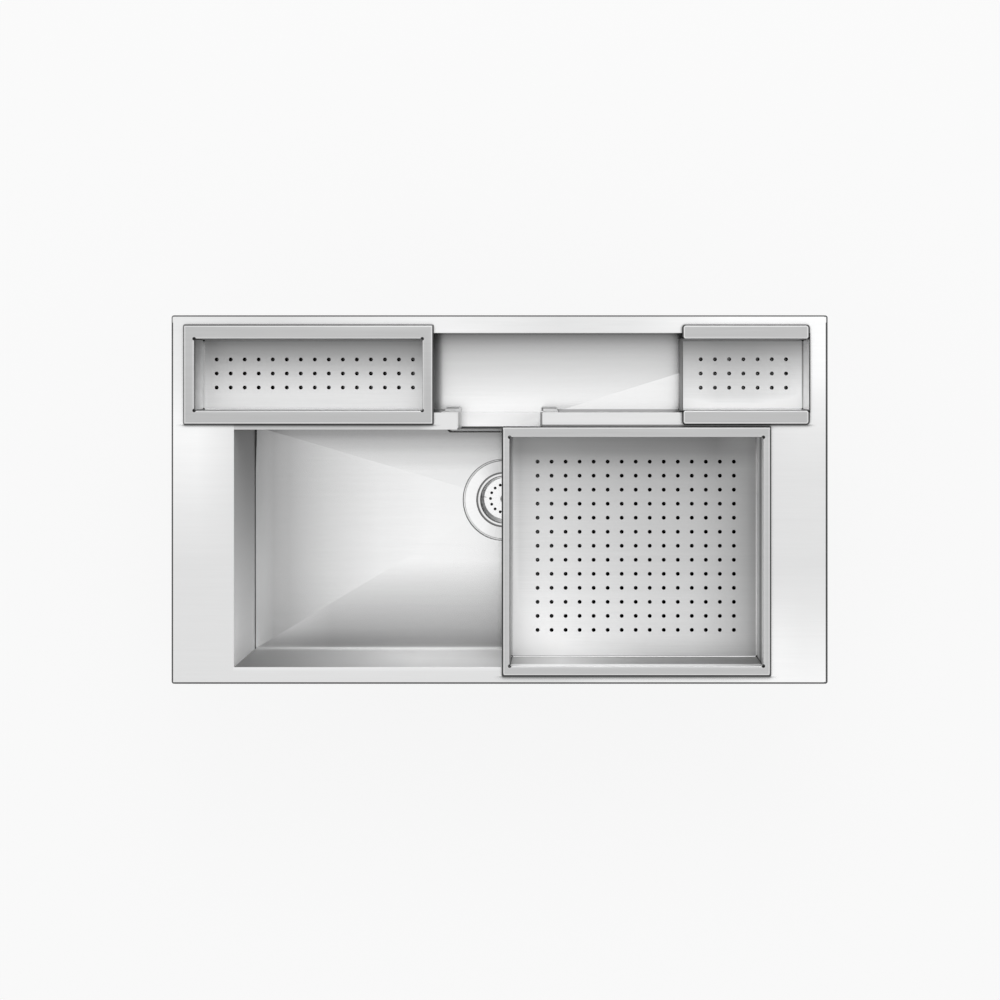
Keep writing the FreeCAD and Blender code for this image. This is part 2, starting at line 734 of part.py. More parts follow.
def make_strainer():
    cup = at_drain(new_body("strainer_cup"))
    mouth = "strainer_mouth_radius"
    wall = "strainer_wall"
    turned(cup, [
        (mouth, "flange_top"), (mouth, "shoulder_level"),
        ("strainer_shoulder_radius", "shoulder_level"),
        ("strainer_shoulder_radius - strainer_taper", "strainer_floor"),
        ("strainer_outlet_radius", "strainer_floor"), ("strainer_outlet_radius", "neck_low"),
        ("strainer_neck_radius", "neck_low"),
        ("strainer_neck_radius", f"strainer_floor - {wall}"),
        ("strainer_outside", f"strainer_floor - {wall}"),
        ("strainer_outside", "ring_nut_low - thread_run"),
        ("thread_radius", "ring_nut_low - thread_run"),
        ("thread_radius", "flange_under"), ("strainer_flange_radius", "flange_under"),
        ("strainer_flange_radius", "flange_top - strainer_flange_thickness/2"),
        ("strainer_flange_radius - strainer_flange_thickness/2", "flange_top")], "cup_turning")

    outer = round_bar("top_seal_outer", "strainer_flange_radius - strainer_flange_thickness",
                      "recess_level", "flange_under", y="drain_back")
    inner = round_bar("top_seal_inner",
                      "strainer_flange_radius - strainer_flange_thickness - strainer_seal_width",
                      "recess_level - overrun", "flange_under + overrun", y="drain_back")
    node(cut("top_seal", outer, inner), "strainer_top_seal")

    outer = round_bar("under_seal_outer", "ring_nut_radius + under_seal_rim", "under_seal_low",
                      "recess_under", y="drain_back")
    inner = round_bar("under_seal_inner", "thread_radius + thread_gap",
                      "under_seal_low - overrun", "recess_under + overrun", y="drain_back")
    node(cut("under_seal", outer, inner), "strainer_under_seal")

    nut = at_drain(new_body("strainer_ring_nut"))
    blank = sketch(nut, "ring_nut_outline", level="ring_nut_low")
    circle(blank, "0", "0", "ring_nut_radius")
    circle(blank, "0", "0", "thread_radius + thread_gap")
    pad(nut, blank, "ring_nut_height", "ring_nut_blank")
    doc.recompute()
    notch = sketch(nut, "ring_nut_notch", level="under_seal_low")
    rectangle(notch, ("ring_nut_radius - ring_nut_lug_depth", "ring_nut_radius + overrun"),
              ("-ring_nut_lug_width/2", "ring_nut_lug_width/2"))
    first = pocket(nut, notch, "ring_nut_height", "ring_nut_notches")
    doc.recompute()
    ring_pattern(nut, first, "ring_nut_lugs", "ring_nut_ring")


def make_outlet():
    washer_outer = round_bar("washer_outer", "strainer_neck_radius", "collar_top", "neck_low",
                             y="drain_back")
    washer_inner = round_bar("washer_inner", "outlet_bore_radius", "collar_top - overrun",
                             "neck_low + overrun", y="drain_back")
    node(cut("washer", washer_outer, washer_inner), "outlet_washer")

    collar = round_bar("outlet_collar", "strainer_neck_radius", "collar_low", "collar_top",
                       y="drain_back")
    neck = round_bar("outlet_neck", "outlet_neck_radius", "outlet_neck_low", "collar_top",
                     y="drain_back")
    tail = round_bar("outlet_tail", "outlet_radius", "outlet_low", "outlet_neck_low",
                     y="drain_back")
    branch = level_bar("outlet_branch", "spigot_radius", "drain_back", "branch_back", "0",
                       "branch_level")
    bore = round_bar("outlet_bore", "outlet_bore_radius", "outlet_low - overrun",
                     "collar_top + overrun", y="drain_back")
    branch_bore = level_bar("outlet_branch_bore", "spigot_radius - spigot_wall", "drain_back",
                            "branch_back + overrun", "0", "branch_level")
    node(cut("outlet_shape", fuse("outlet_joined", collar, neck, tail, branch), bore,
             branch_bore), "outlet_body")

    nut = at_drain(new_body("outlet_union_nut"))
    bore_radius = "strainer_neck_radius + thread_gap"
    lip_radius = "outlet_neck_radius + collar_gap"
    outside = f"{bore_radius} + union_wall"
    turned(nut, [
        (bore_radius, "neck_low + union_grip"), (bore_radius, "collar_low"),
        (lip_radius, "collar_low"), (lip_radius, "collar_low - union_flange"),
        (outside, "collar_low - union_flange"), (outside, "neck_low + union_grip")],
        "union_turning")


# Basket that lifts out: a perforated cup, a stopper under it and a knob to pull it by


def make_basket():
    cup = at_drain(new_body("basket_cup"))
    skin = "basket_sheet"
    turned(cup, [
        ("basket_rim_radius", "basket_rim_top"), ("basket_radius", "basket_rim_top"),
        ("basket_floor_radius", f"basket_low + {skin}"), ("stem_radius", f"basket_low + {skin}"),
        ("stem_radius", "basket_low"), (f"basket_floor_radius + {skin}/2", "basket_low"),
        (f"basket_radius + {skin}", "shoulder_level"), ("basket_rim_radius", "shoulder_level")],
        "basket_turning")
    doc.recompute()
    drawing = circle(sketch(cup, "basket_hole", level="basket_low + 2*basket_sheet"),
                     "-basket_hole_circle", "0", "basket_hole_radius")
    hole = pocket(cup, drawing, "3*basket_sheet", "basket_holes")
    doc.recompute()
    ring_pattern(cup, hole, "basket_hole_count", "basket_hole_ring")

    stopper = at_drain(new_body("basket_stopper"))
    turned(stopper, [
        ("stem_radius", "basket_low"), ("stem_radius", "basket_low - stopper_thickness"),
        ("stopper_radius - stopper_thickness", "basket_low - stopper_thickness"),
        ("stopper_radius", "basket_low")], "stopper_turning")

    knob = at_drain(new_body("basket_knob"))
    top = "basket_low + knob_rise"
    turned(knob, [
        ("0", top), ("knob_top_radius", top), ("knob_radius", f"{top} - knob_bevel"),
        ("knob_radius", f"{top} - knob_height + knob_bevel"),
        ("stem_radius", f"{top} - knob_height"),
        ("stem_radius", "basket_low - stopper_thickness"),
        ("0", "basket_low - stopper_thickness")], "knob_turning")


# Sound pads on the outside of the bowl


def make_pads():
    z = ("deck_under - pad_below_deck - pad_height", "deck_under - pad_below_deck")
    y = ("bowl_front + pad_margin", "bowl_back - pad_margin")
    end = "bowl_end + sheet"
    node(box("pad_left", (f"-({end} + pad_thickness)", f"-({end})"), y, z), "sound_pad_left")
    node(box("pad_right", (end, f"{end} + pad_thickness"), y, z), "sound_pad_right")
    node(box("pad_front", ("-bowl_end + pad_margin", "bowl_end - pad_margin"),
             ("bowl_front - sheet - pad_thickness", "bowl_front - sheet"), z), "sound_pad_front")


# Fixings under the deck: welded studs, and claws that turn out under the worktop

FIXINGS = [(x, f"{side}stud_back", turn) for side, turn in (("-", 180), ("", 0))
           for x in ("-outer_stud", "0", "outer_stud")]
FIXINGS += [("-stud_end", "(bowl_front + bowl_back)/2", 90),
            ("stud_end", "(bowl_front + bowl_back)/2", 270)]


def make_fixings():
    studs = []
    hexes = []
    for number, (x, y, turn) in enumerate(FIXINGS, start=1):
        foot = round_bar(f"stud_foot_{number}", "stud_foot_radius",
                         "deck_under - stud_foot_thickness", "deck_under", x, y)
        shank = round_bar(f"stud_shank_{number}", "stud_radius", "stud_low", "deck_under", x, y)
        studs.append(fuse(f"stud_{number}", foot, shank))
        prism = doc.addObject("Part::Prism", f"nut_prism_{number}")
        bind(prism, Polygon="nut_sides", Circumradius="nut_flats/sqrt(3)", Height="nut_height")
        place(prism, x, y, "claw_low - nut_height")
        hole = round_bar(f"nut_hole_{number}", "stud_radius + thread_gap",
                         "claw_low - nut_height - overrun", "claw_low + overrun", x, y)
        hexes.append(cut(f"nut_{number}", prism, hole))
    group = doc.addObject("Part::Compound", "stud_group")
    group.Links = studs
    node(group, "fixing_studs")
    group = doc.addObject("Part::Compound", "nut_group")
    group.Links = hexes
    node(group, "fixing_nuts")


def make_claw(number, x, y, turn):
    body = new_body(f"claw_{number}")
    half = "claw_width/2"
    drawing = sketch(body, f"claw_outline_{number}", level="claw_low")
    rectangle(drawing, (f"-{half}", f"claw_length - {half}"), (f"-{half}", half))
    arm = pad(body, drawing, "claw_thickness", f"claw_arm_{number}")
    round_corners(body, arm, [f"-{half}"], [f"-{half}", half], f"{half}*claw_round_share",
                  f"claw_end_{number}")
    doc.recompute()
    toe = sketch(body, f"claw_toe_outline_{number}", level="claw_low")
    rectangle(toe, (f"claw_length - {half} - claw_thickness", f"claw_length - {half}"),
              (f"-{half}", half))
    pad(body, toe, "claw_thickness + claw_toe", f"claw_toe_{number}")
    doc.recompute()
    hole = circle(sketch(body, f"claw_hole_{number}", level="claw_top"), "0", "0",
                  "stud_radius + claw_running_gap")
    pocket(body, hole, "claw_thickness", f"claw_bore_{number}")
    body.Placement.Rotation = FreeCAD.Rotation(FreeCAD.Vector(0, 0, 1), turn)
    place(body, x, y)


# Trays: a folded frame with a turned-down rim, and a perforated base let into it


def make_tray_frame(name, x, y, depth, end_rim, side_rim, corner_radius):
    """A folded frame. x and y run over its rim, which has one width at the ends of the tray
    and another along its sides. Gives the plan size of the walls."""
    body = new_body(f"{name}_frame")
    low = f"deck_top - {depth}"
    wall_x = (f"{x[0]} + {end_rim}", f"{x[1]} - {end_rim}")
    wall_y = (f"{y[0]} + {side_rim}", f"{y[1]} - {side_rim}")
    inner_x = (f"{wall_x[0]} + tray_sheet", f"{wall_x[1]} - tray_sheet")
    inner_y = (f"{wall_y[0]} + tray_sheet", f"{wall_y[1]} - tray_sheet")
    rim = pad(body, rectangle(sketch(body, f"{name}_rim_outline", level="deck_top"), x, y),
              "rim_height", f"{name}_rim")
    round_corners(body, rim, x, y, corner_radius, f"{name}_rim_corners")
    doc.recompute()
    walls = rectangle(sketch(body, f"{name}_wall_outline", level=low), wall_x, wall_y)
    pad(body, walls, f"{depth} + rim_height", f"{name}_wall_block")
    doc.recompute()
    under = sketch(body, f"{name}_rim_underside", level="rim_top - tray_sheet")
    lip_x = (f"{x[0]} + tray_sheet", f"{x[1]} - tray_sheet")
    if end_rim == "0":
        rectangle(under, lip_x, (f"{y[0]} + tray_sheet", wall_y[0]))
        rectangle(under, lip_x, (wall_y[1], f"{y[1]} - tray_sheet"))
    else:
        rectangle(under, lip_x, (f"{y[0]} + tray_sheet", f"{y[1]} - tray_sheet"))
        rectangle(under, wall_x, wall_y)
    pocket(body, under, "rim_height - tray_sheet", f"{name}_rim_hollow")
    doc.recompute()
    inside = rectangle(sketch(body, f"{name}_inside", level="rim_top"), inner_x, inner_y)
    pocket(body, inside, f"{depth} + rim_height + overrun", f"{name}_opening")
    doc.recompute()
    reliefs = sketch(body, f"{name}_corner_reliefs", level="rim_top")
    for corner_x in inner_x:
        for corner_y in inner_y:
            circle(reliefs, corner_x, corner_y, "relief_radius")
    pocket(body, reliefs, "rim_height", f"{name}_reliefs")
    return inner_x, inner_y


def make_tray_base(name, x, y, depth, columns, rows, start_margin, end_margin, side_margin):
    """The perforated sheet inside the frame's lower edge. The holes keep a plain margin round
    them, and their pitch is what is left over: 19.6 both ways on all three trays."""
    body = new_body(f"{name}_base")
    low = f"deck_top - {depth}"
    plate = rectangle(sketch(body, f"{name}_base_outline", level=low), x, y)
    pad(body, plate, "tray_sheet", f"{name}_sheet")
    doc.recompute()
    hole = body.newObject("PartDesign::SubtractivePrism", f"{name}_hole")
    bind(hole, Polygon="hole_facets", Circumradius="hole_radius", Height="tray_sheet + 2*overrun")
    bind(hole, AttachmentOffset__Base__x=f"{x[0]} + {start_margin}",
         AttachmentOffset__Base__y=f"{y[0]} + {side_margin}",
         AttachmentOffset__Base__z=f"{low} - overrun")
    hole.AttachmentSupport = [([item for item in body.Origin.OriginFeatures
                                if item.Role == "XY_Plane"][0], "")]
    hole.MapMode = "FlatFace"
    doc.recompute()
    grid = body.newObject("PartDesign::LinearPattern", f"{name}_hole_grid")
    grid.Originals = [hole]
    grid.Direction = (plate, ["H_Axis"])
    grid.Direction2 = (plate, ["V_Axis"])
    bind(grid, Length=f"({x[1]}) - ({x[0]}) - {start_margin} - {end_margin}",
         Occurrences=columns,
         Length2=f"({y[1]}) - ({y[0]}) - 2*{side_margin}", Occurrences2=rows)
    body.Tip = grid


def make_trays():
    small_y = ("small_front", "small_back")
    trays = [
        ("large_tray", ("large_right - large_length", "large_right"),
         ("large_front", "large_back"), "large_depth", "large_end_rim", "large_rim",
         "tray_corner_radius", "large_columns", "large_rows", "large_start_margin",
         "large_end_margin", "large_side_margin"),
        ("long_tray", ("long_left", "long_left + long_length"), small_y, "small_depth",
         "long_rim", "rim_side", "tray_corner_radius", "long_columns", "small_rows",
         "long_end_margin", "long_end_margin", "small_side_margin"),
        ("short_tray", ("short_right - short_length", "short_right"), small_y, "small_depth",
         "0", "rim_side", "short_corner_radius", "short_columns", "small_rows",
         "short_start_margin", "short_end_margin", "small_side_margin"),
    ]
    for name, x, y, depth, end_rim, side_rim, corner_radius, *hole_grid in trays:
        inner_x, inner_y = make_tray_frame(name, x, y, depth, end_rim, side_rim, corner_radius)
        make_tray_base(name, inner_x, inner_y, depth, *hole_grid)


def check_document():
    """Stop if any object failed, or any sub-part has no sound shape."""
    for item in doc.Objects:
        if "Invalid" in item.State or "Error" in item.State:
            raise RuntimeError(f"{item.Name} failed to build: {item.State}")
    for part in nodes:
        if part.Shape.isNull() or not part.Shape.isValid():
            raise RuntimeError(f"{part.Label} has no sound shape")


make_deck()
make_seal()
make_bowl()
make_channel()
make_channel_floor()
make_liner()
make_overflow_cover()
make_overflow_parts()
make_overflow_pipe()
make_strainer()
make_outlet()
make_basket()
make_pads()
make_fixings()
for claw_number, (stud_x, stud_y, claw_turn) in enumerate(FIXINGS, start=1):
    make_claw(claw_number, stud_x, stud_y, claw_turn)
make_trays()
doc.recompute()
check_document()

os.makedirs("parts", exist_ok=True)
for part in nodes:
    part.Shape.exportStep(os.path.join("parts", part.Label + ".step"))
    solids = part.Shape.Solids
    print(part.Label, len(solids), "solid(s),", round(sum(s.Volume for s in solids)), "mm3")
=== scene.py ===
import json
import math

import bpy
import bmesh
from mathutils import Matrix, Vector


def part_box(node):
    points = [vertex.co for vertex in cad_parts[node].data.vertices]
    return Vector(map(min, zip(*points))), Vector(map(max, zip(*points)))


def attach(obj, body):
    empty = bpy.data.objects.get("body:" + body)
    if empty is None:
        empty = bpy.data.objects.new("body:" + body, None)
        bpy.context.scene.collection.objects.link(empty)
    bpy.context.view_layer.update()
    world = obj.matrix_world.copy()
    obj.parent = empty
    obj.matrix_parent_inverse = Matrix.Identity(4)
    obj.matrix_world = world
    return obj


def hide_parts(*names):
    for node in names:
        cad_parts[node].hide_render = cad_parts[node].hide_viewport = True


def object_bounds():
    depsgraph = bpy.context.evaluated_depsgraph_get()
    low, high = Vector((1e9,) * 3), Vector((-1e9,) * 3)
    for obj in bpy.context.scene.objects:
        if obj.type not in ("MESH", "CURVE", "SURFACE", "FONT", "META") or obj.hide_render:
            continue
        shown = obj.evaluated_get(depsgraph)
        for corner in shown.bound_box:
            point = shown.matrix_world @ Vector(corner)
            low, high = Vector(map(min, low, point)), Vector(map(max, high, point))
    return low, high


# Inset workstation sink in brushed steel, seen from straight above: a bowl, a rear channel that
# spills into it, and three perforated trays. Metres, in the frame of the solids.

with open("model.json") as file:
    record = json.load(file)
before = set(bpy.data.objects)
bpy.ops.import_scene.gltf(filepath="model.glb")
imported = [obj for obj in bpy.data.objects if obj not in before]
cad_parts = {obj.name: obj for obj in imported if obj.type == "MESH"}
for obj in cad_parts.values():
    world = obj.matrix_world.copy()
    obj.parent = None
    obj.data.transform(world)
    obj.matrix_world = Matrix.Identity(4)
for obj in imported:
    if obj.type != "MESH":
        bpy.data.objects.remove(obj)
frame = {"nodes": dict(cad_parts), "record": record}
cad_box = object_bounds()
nodes = frame["nodes"]
body_of_node = {name: body for body, names in frame["record"]["behaviour"]["bodies"].items()
                for name in names}

MM = 0.001

# Sheet metal
SHEET = 1.0 * MM
WELD = 0.002 * MM
FOLD_RADIUS = 1.8 * MM
FOOT_FOLD_RADIUS = 1.2 * MM
INNER_FOLD_RADIUS = 0.2 * MM
FOOT_RUN = 2.2 * MM
LIP_SPLAY = 1.3 * MM
FOLD_STEPS = 5
CORNER_STEPS = 4
SLAB_STEPS = 6
SMOOTH_ANGLE = math.radians(38)
PLAN_CORNER = {"deck": 0.6 * MM, "large_tray": 2.2 * MM, "long_tray": 2.2 * MM,
               "short_tray": 5.0 * MM}
RIM_HEIGHT = 3.95 * MM
DECK_SPLAY = 1.6 * MM
EASED_EDGE = 0.3 * MM
RELIEF_RADIUS = 1.6 * MM
RELIEF_DEPTH = 2.5 * MM
FOOT_RELIEF_RADIUS = 1.3 * MM
FOOT_RELIEF_DEPTH = 2 * MM
RELIEF_SIDES = 24

# Spillway
SPILLWAY_HALF_LENGTH = 56 * MM

# Threads and ribs
STUD_RADIUS = 3 * MM
STUD_FOOT_RADIUS = 4.5 * MM
STUD_FOOT_HEIGHT = 1.5 * MM
THREAD_PITCH = 1 * MM
THREAD_DEPTH = 0.55 * MM
THREAD_SIDES = 14
THREAD_ROWS = 4  # in one pitch
UNION_WALL = 5 * MM
UNION_LIP = 2.55 * MM
UNION_FLOOR = 4 * MM
UNION_CHAMFER = 1.5 * MM
RIB_DEPTH = 0.8 * MM
RIB_STEPS = 4
RIBBED_SEGMENTS = 240

# Perforation. For each tray: columns, rows, spacing, first column from the base's left end, and
# how far the grid's middle lies behind the base's.
HOLE_RADIUS = 2.7 * MM
HOLE_SIDES = 20
HOLE_EDGE = 0.15 * MM
TRAY_HOLES = {"large_tray": (15, 13, 19.6 * MM, 36.5 * MM, 0.4 * MM),
              "long_tray": (15, 3, 19.46 * MM, 18.4 * MM, 1.6 * MM),
              "short_tray": (7, 3, 19.74 * MM, 28.6 * MM, 1.6 * MM)}

# Camera: above the back of the sink, looking straight down, the sink in the frame's middle
CAMERA_X = 0.090
CAMERA_Y = 0.169
CAMERA_HEIGHT = 2.650
FRAME_WIDTH = 1.3552
SENSOR_WIDTH = 36.0
FRAME_MIDDLE_X = 0.0006
FRAME_MIDDLE_Y = -0.0004

# Room: how light the floor is, and how light the camera and the metal see it
FLOOR_HALF_SIZE = 6
FLOOR_TONE = (0.9, 0.9, 0.9, 1)
BACKDROP_TONE = (0.945, 0.945, 0.945, 1)
BACKDROP_SHARE = 0.9
SKY_TONE = (0.97, 0.97, 0.97, 1)


# Meshes and pieces


def linked(name, data):
    """A new object in the scene, for a mesh, a lamp or a camera."""
    item = bpy.data.objects.new(name, data)
    bpy.context.scene.collection.objects.link(item)
    return item


def object_from(name, shape):
    """A new object from a bmesh, at the origin, with its faces turned outwards."""
    if shape.faces and shape.calc_volume(signed=True) < 0:
        bmesh.ops.reverse_faces(shape, faces=shape.faces)
    mesh = bpy.data.meshes.new(name)
    shape.to_mesh(mesh)
    shape.free()
    return linked(name, mesh)


def bridge(shape, rings, closed=False):
    """Faces between each ring of points and the next, and from the last to the first if closed."""
    for ring, following in zip(rings, rings[1:] + rings[:1] if closed else rings[1:]):
        for spot in range(len(ring)):
            after = (spot + 1) % len(ring)
            shape.faces.new((ring[spot], following[spot], following[after], ring[after]))


def round_spot(centre, radius, angle):
    """The plan place at an angle round a centre."""
    return centre[0] + radius * math.cos(angle), centre[1] + radius * math.sin(angle)


def baked(item):
    """The object with its modifiers made part of its mesh."""
    graph = bpy.context.evaluated_depsgraph_get()
    graph.update()
    mesh = bpy.data.meshes.new_from_object(item.evaluated_get(graph))
    item.modifiers.clear()
    item.data = mesh
    return item


def fit(item, node, material):
    """Ride on the node's body, in its slot's finish."""
    item.data.materials.clear()
    item.data.materials.append(material)
    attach(item, body_of_node[node])
    return item


def eased(item, width, segments=2, angle=32, smooth=True):
    """A bevel that turns sharp edges into the small radii of real sheet."""
    bevel = item.modifiers.new("eased edges", "BEVEL")
    bevel.width = width
    bevel.segments = segments
    bevel.limit_method = "ANGLE"
    bevel.angle_limit = math.radians(angle)
    if smooth:
        bevel.harden_normals = True
        item.data.shade_smooth()
        item.data.set_sharp_from_angle(angle=math.radians(angle))
    return item


def merged_copy(node):
    """The node's mesh as one welded bmesh with flat faces in one piece."""
    shape = bmesh.new()
    shape.from_mesh(nodes[node].data)
    bmesh.ops.remove_doubles(shape, verts=shape.verts, dist=WELD)
    bmesh.ops.dissolve_limit(shape, angle_limit=math.radians(0.5), verts=shape.verts,
                             edges=shape.edges, delimit={"NORMAL"})
    return shape


def finished(material, width, *names, segments=2, angle=32, smooth=True):
    """Copies of nodes with eased edges, which stand for them."""
    for node in names:
        item = object_from(node + "_finished", merged_copy(node))
        fit(item, node, material)
        eased(item, width, segments, angle, smooth)
        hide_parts(node)


def plain(material, *names):
    """The nodes themselves, in a better material."""
    for node in names:
        for place in nodes[node].material_slots:
            place.material = material


# Folded sheet


def rounded_path(points, radii, steps):
    """An open run of points with its inner corners turned into arcs."""
    path = [Vector(points[0])]
    for index in range(1, len(points) - 1):
        corner = Vector(points[index])
        before = (Vector(points[index - 1]) - corner).normalized()
        after = (Vector(points[index + 1]) - corner).normalized()
        half = before.angle(after) / 2
        reach = radii[index - 1] / math.tan(half)
        middle = corner + (before + after).normalized() * radii[index - 1] / math.sin(half)
        first = corner + before * reach - middle
        last = corner + after * reach - middle
        turn = first.angle(last)
        for step in range(steps + 1):
            share = step / steps
            blend = (first * math.sin((1 - share) * turn) + last * math.sin(share * turn))
            path.append(middle + blend / math.sin(turn))
    path.append(Vector(points[-1]))
    return path


def fold_section(width, top, foot, base_top, base_low):
    """One closed section of a tray's lip, rim, wall and foot, as (inward, height) points."""
    skin = rounded_path(
        [(0, foot), (LIP_SPLAY, top), (width, top), (width, base_top),
         (width + FOOT_RUN, base_top)],
        [FOLD_RADIUS, FOLD_RADIUS, FOOT_FOLD_RADIUS], FOLD_STEPS)
    under = rounded_path(
        [(SHEET, foot), (LIP_SPLAY + SHEET, top - SHEET),
         (width - SHEET, top - SHEET), (width - SHEET, base_low),
         (width + FOOT_RUN, base_low)],
        [FOLD_RADIUS - SHEET, INNER_FOLD_RADIUS, FOOT_FOLD_RADIUS + SHEET],
        FOLD_STEPS)
    return skin + under[::-1]


def corner_spot(corner, signs, end_point, side_point, radius, share):
    """Where one point of the section stands at a share of the way round a plan corner."""
    dx, dy = end_point.x, side_point.x
    if dx < radius:
        dx, dy = round_spot((radius, radius), dx - radius, share * math.pi / 2)
    return (corner[0] + signs[0] * dx, corner[1] + signs[1] * dy, end_point.y)


def swept_frame(name, low, high, end_section, side_section, radius):
    """A section carried round a rectangle, with mitred inner and rounded outer corners."""
    shape = bmesh.new()
    rings = []
    shares = [step / CORNER_STEPS for step in range(CORNER_STEPS + 1)]
    for x, y, signs, order in ((low.x, low.y, (1, 1), 1), (high.x, low.y, (-1, 1), -1),
                               (high.x, high.y, (-1, -1), 1), (low.x, high.y, (1, -1), -1)):
        for share in shares[::order]:
            rings.append([shape.verts.new(corner_spot((x, y), signs, end, side, radius, share))
                          for end, side in zip(end_section, side_section)])
    bridge(shape, rings, closed=True)
    bmesh.ops.remove_doubles(shape, verts=shape.verts, dist=WELD)
    bmesh.ops.recalc_face_normals(shape, faces=shape.faces)
    return object_from(name, shape)


def extruded_side(name, section, start, end, front, inward):
    """A section carried straight along X. inward is 1 at the front and -1 at the back."""
    shape = bmesh.new()
    rings = [[shape.verts.new((x, front + inward * point.x, point.y)) for point in section]
             for x in (start, end)]
    bridge(shape, rings)
    for ring in rings:
        shape.faces.new(ring)
    bmesh.ops.recalc_face_normals(shape, faces=shape.faces)
    return object_from(name, shape)


def block(name, low, high, radius=0.0):
    """An upright slab, its four plan corners round when it has a radius."""
    shape = bmesh.new()
    spots = []
    quarter = math.pi / 2
    for turn, (x, y) in enumerate(((high[0] - radius, high[1] - radius),
                                   (low[0] + radius, high[1] - radius),
                                   (low[0] + radius, low[1] + radius),
                                   (high[0] - radius, low[1] + radius))):
        for step in range(SLAB_STEPS + 1 if radius else 1):
            spots.append(round_spot((x, y), radius, quarter * (turn + step / SLAB_STEPS)))
    face = shape.faces.new([shape.verts.new((x, y, low[2])) for x, y in spots])
    raised = bmesh.ops.extrude_face_region(shape, geom=[face])["geom"]
    moved = [vert for vert in raised if isinstance(vert, bmesh.types.BMVert)]
    bmesh.ops.translate(shape, verts=moved, vec=(0, 0, high[2] - low[2]))
    bmesh.ops.recalc_face_normals(shape, faces=shape.faces)
    return object_from(name, shape)


def pins(name, spots):
    """Upright round bars, given as (x, y, radius, low, high), in one mesh."""
    shape = bmesh.new()
    for x, y, radius, low, high in spots:
        place = Matrix.Translation((x, y, (low + high) / 2))
        bmesh.ops.create_cone(shape, cap_ends=True, segments=RELIEF_SIDES, radius1=radius,
                              radius2=radius, depth=high - low, matrix=place)
    return object_from(name, shape)


def carve(item, tool, operation="DIFFERENCE"):
    """Cut the tool out of the object, or keep only what the tool holds."""
    change = item.modifiers.new("carve", "BOOLEAN")
    change.operation = operation
    change.solver = "EXACT"
    change.object = tool
    baked(item)
    bpy.data.objects.remove(tool)
    return item


def joined(name, items):
    """Several objects as one mesh."""
    shape = bmesh.new()
    for item in items:
        shape.from_mesh(item.data)
        bpy.data.objects.remove(item)
    return object_from(name, shape)


def turned_piece(name, corners, centre):
    """A closed half section of (radius, height, rib depth) corners, turned about an upright
    axis. Where a corner has a rib depth, every other few segments lie deeper by it."""
    shape = bmesh.new()
    rings = []
    for step in range(RIBBED_SEGMENTS):
        angle = 2 * math.pi * step / RIBBED_SEGMENTS
        dip = step // RIB_STEPS % 2
        rings.append([shape.verts.new((*round_spot(centre, radius - dip * rib, angle), height))
                      for radius, height, rib in corners])
    bridge(shape, rings, closed=True)
    bmesh.ops.recalc_face_normals(shape, faces=shape.faces)
    return object_from(name, shape)


# Finishes

STEEL_TINT = (0.998, 1.0, 1.001)
METALLIC = 0.85
SKIN_DEPTH = 0.05 * MM
OUTSIDE_TONE = 0.7
DECK_TONE = 0.735
STRAINER_RECESS = 66 * MM
# Steps of the painted shadow in front of a tray's rim:
TRAY_SHADE_STEPS = (7.5, 4.7, 3.3, 1.9, 0.6, 0, -1)  # mm in front of a tray's rim


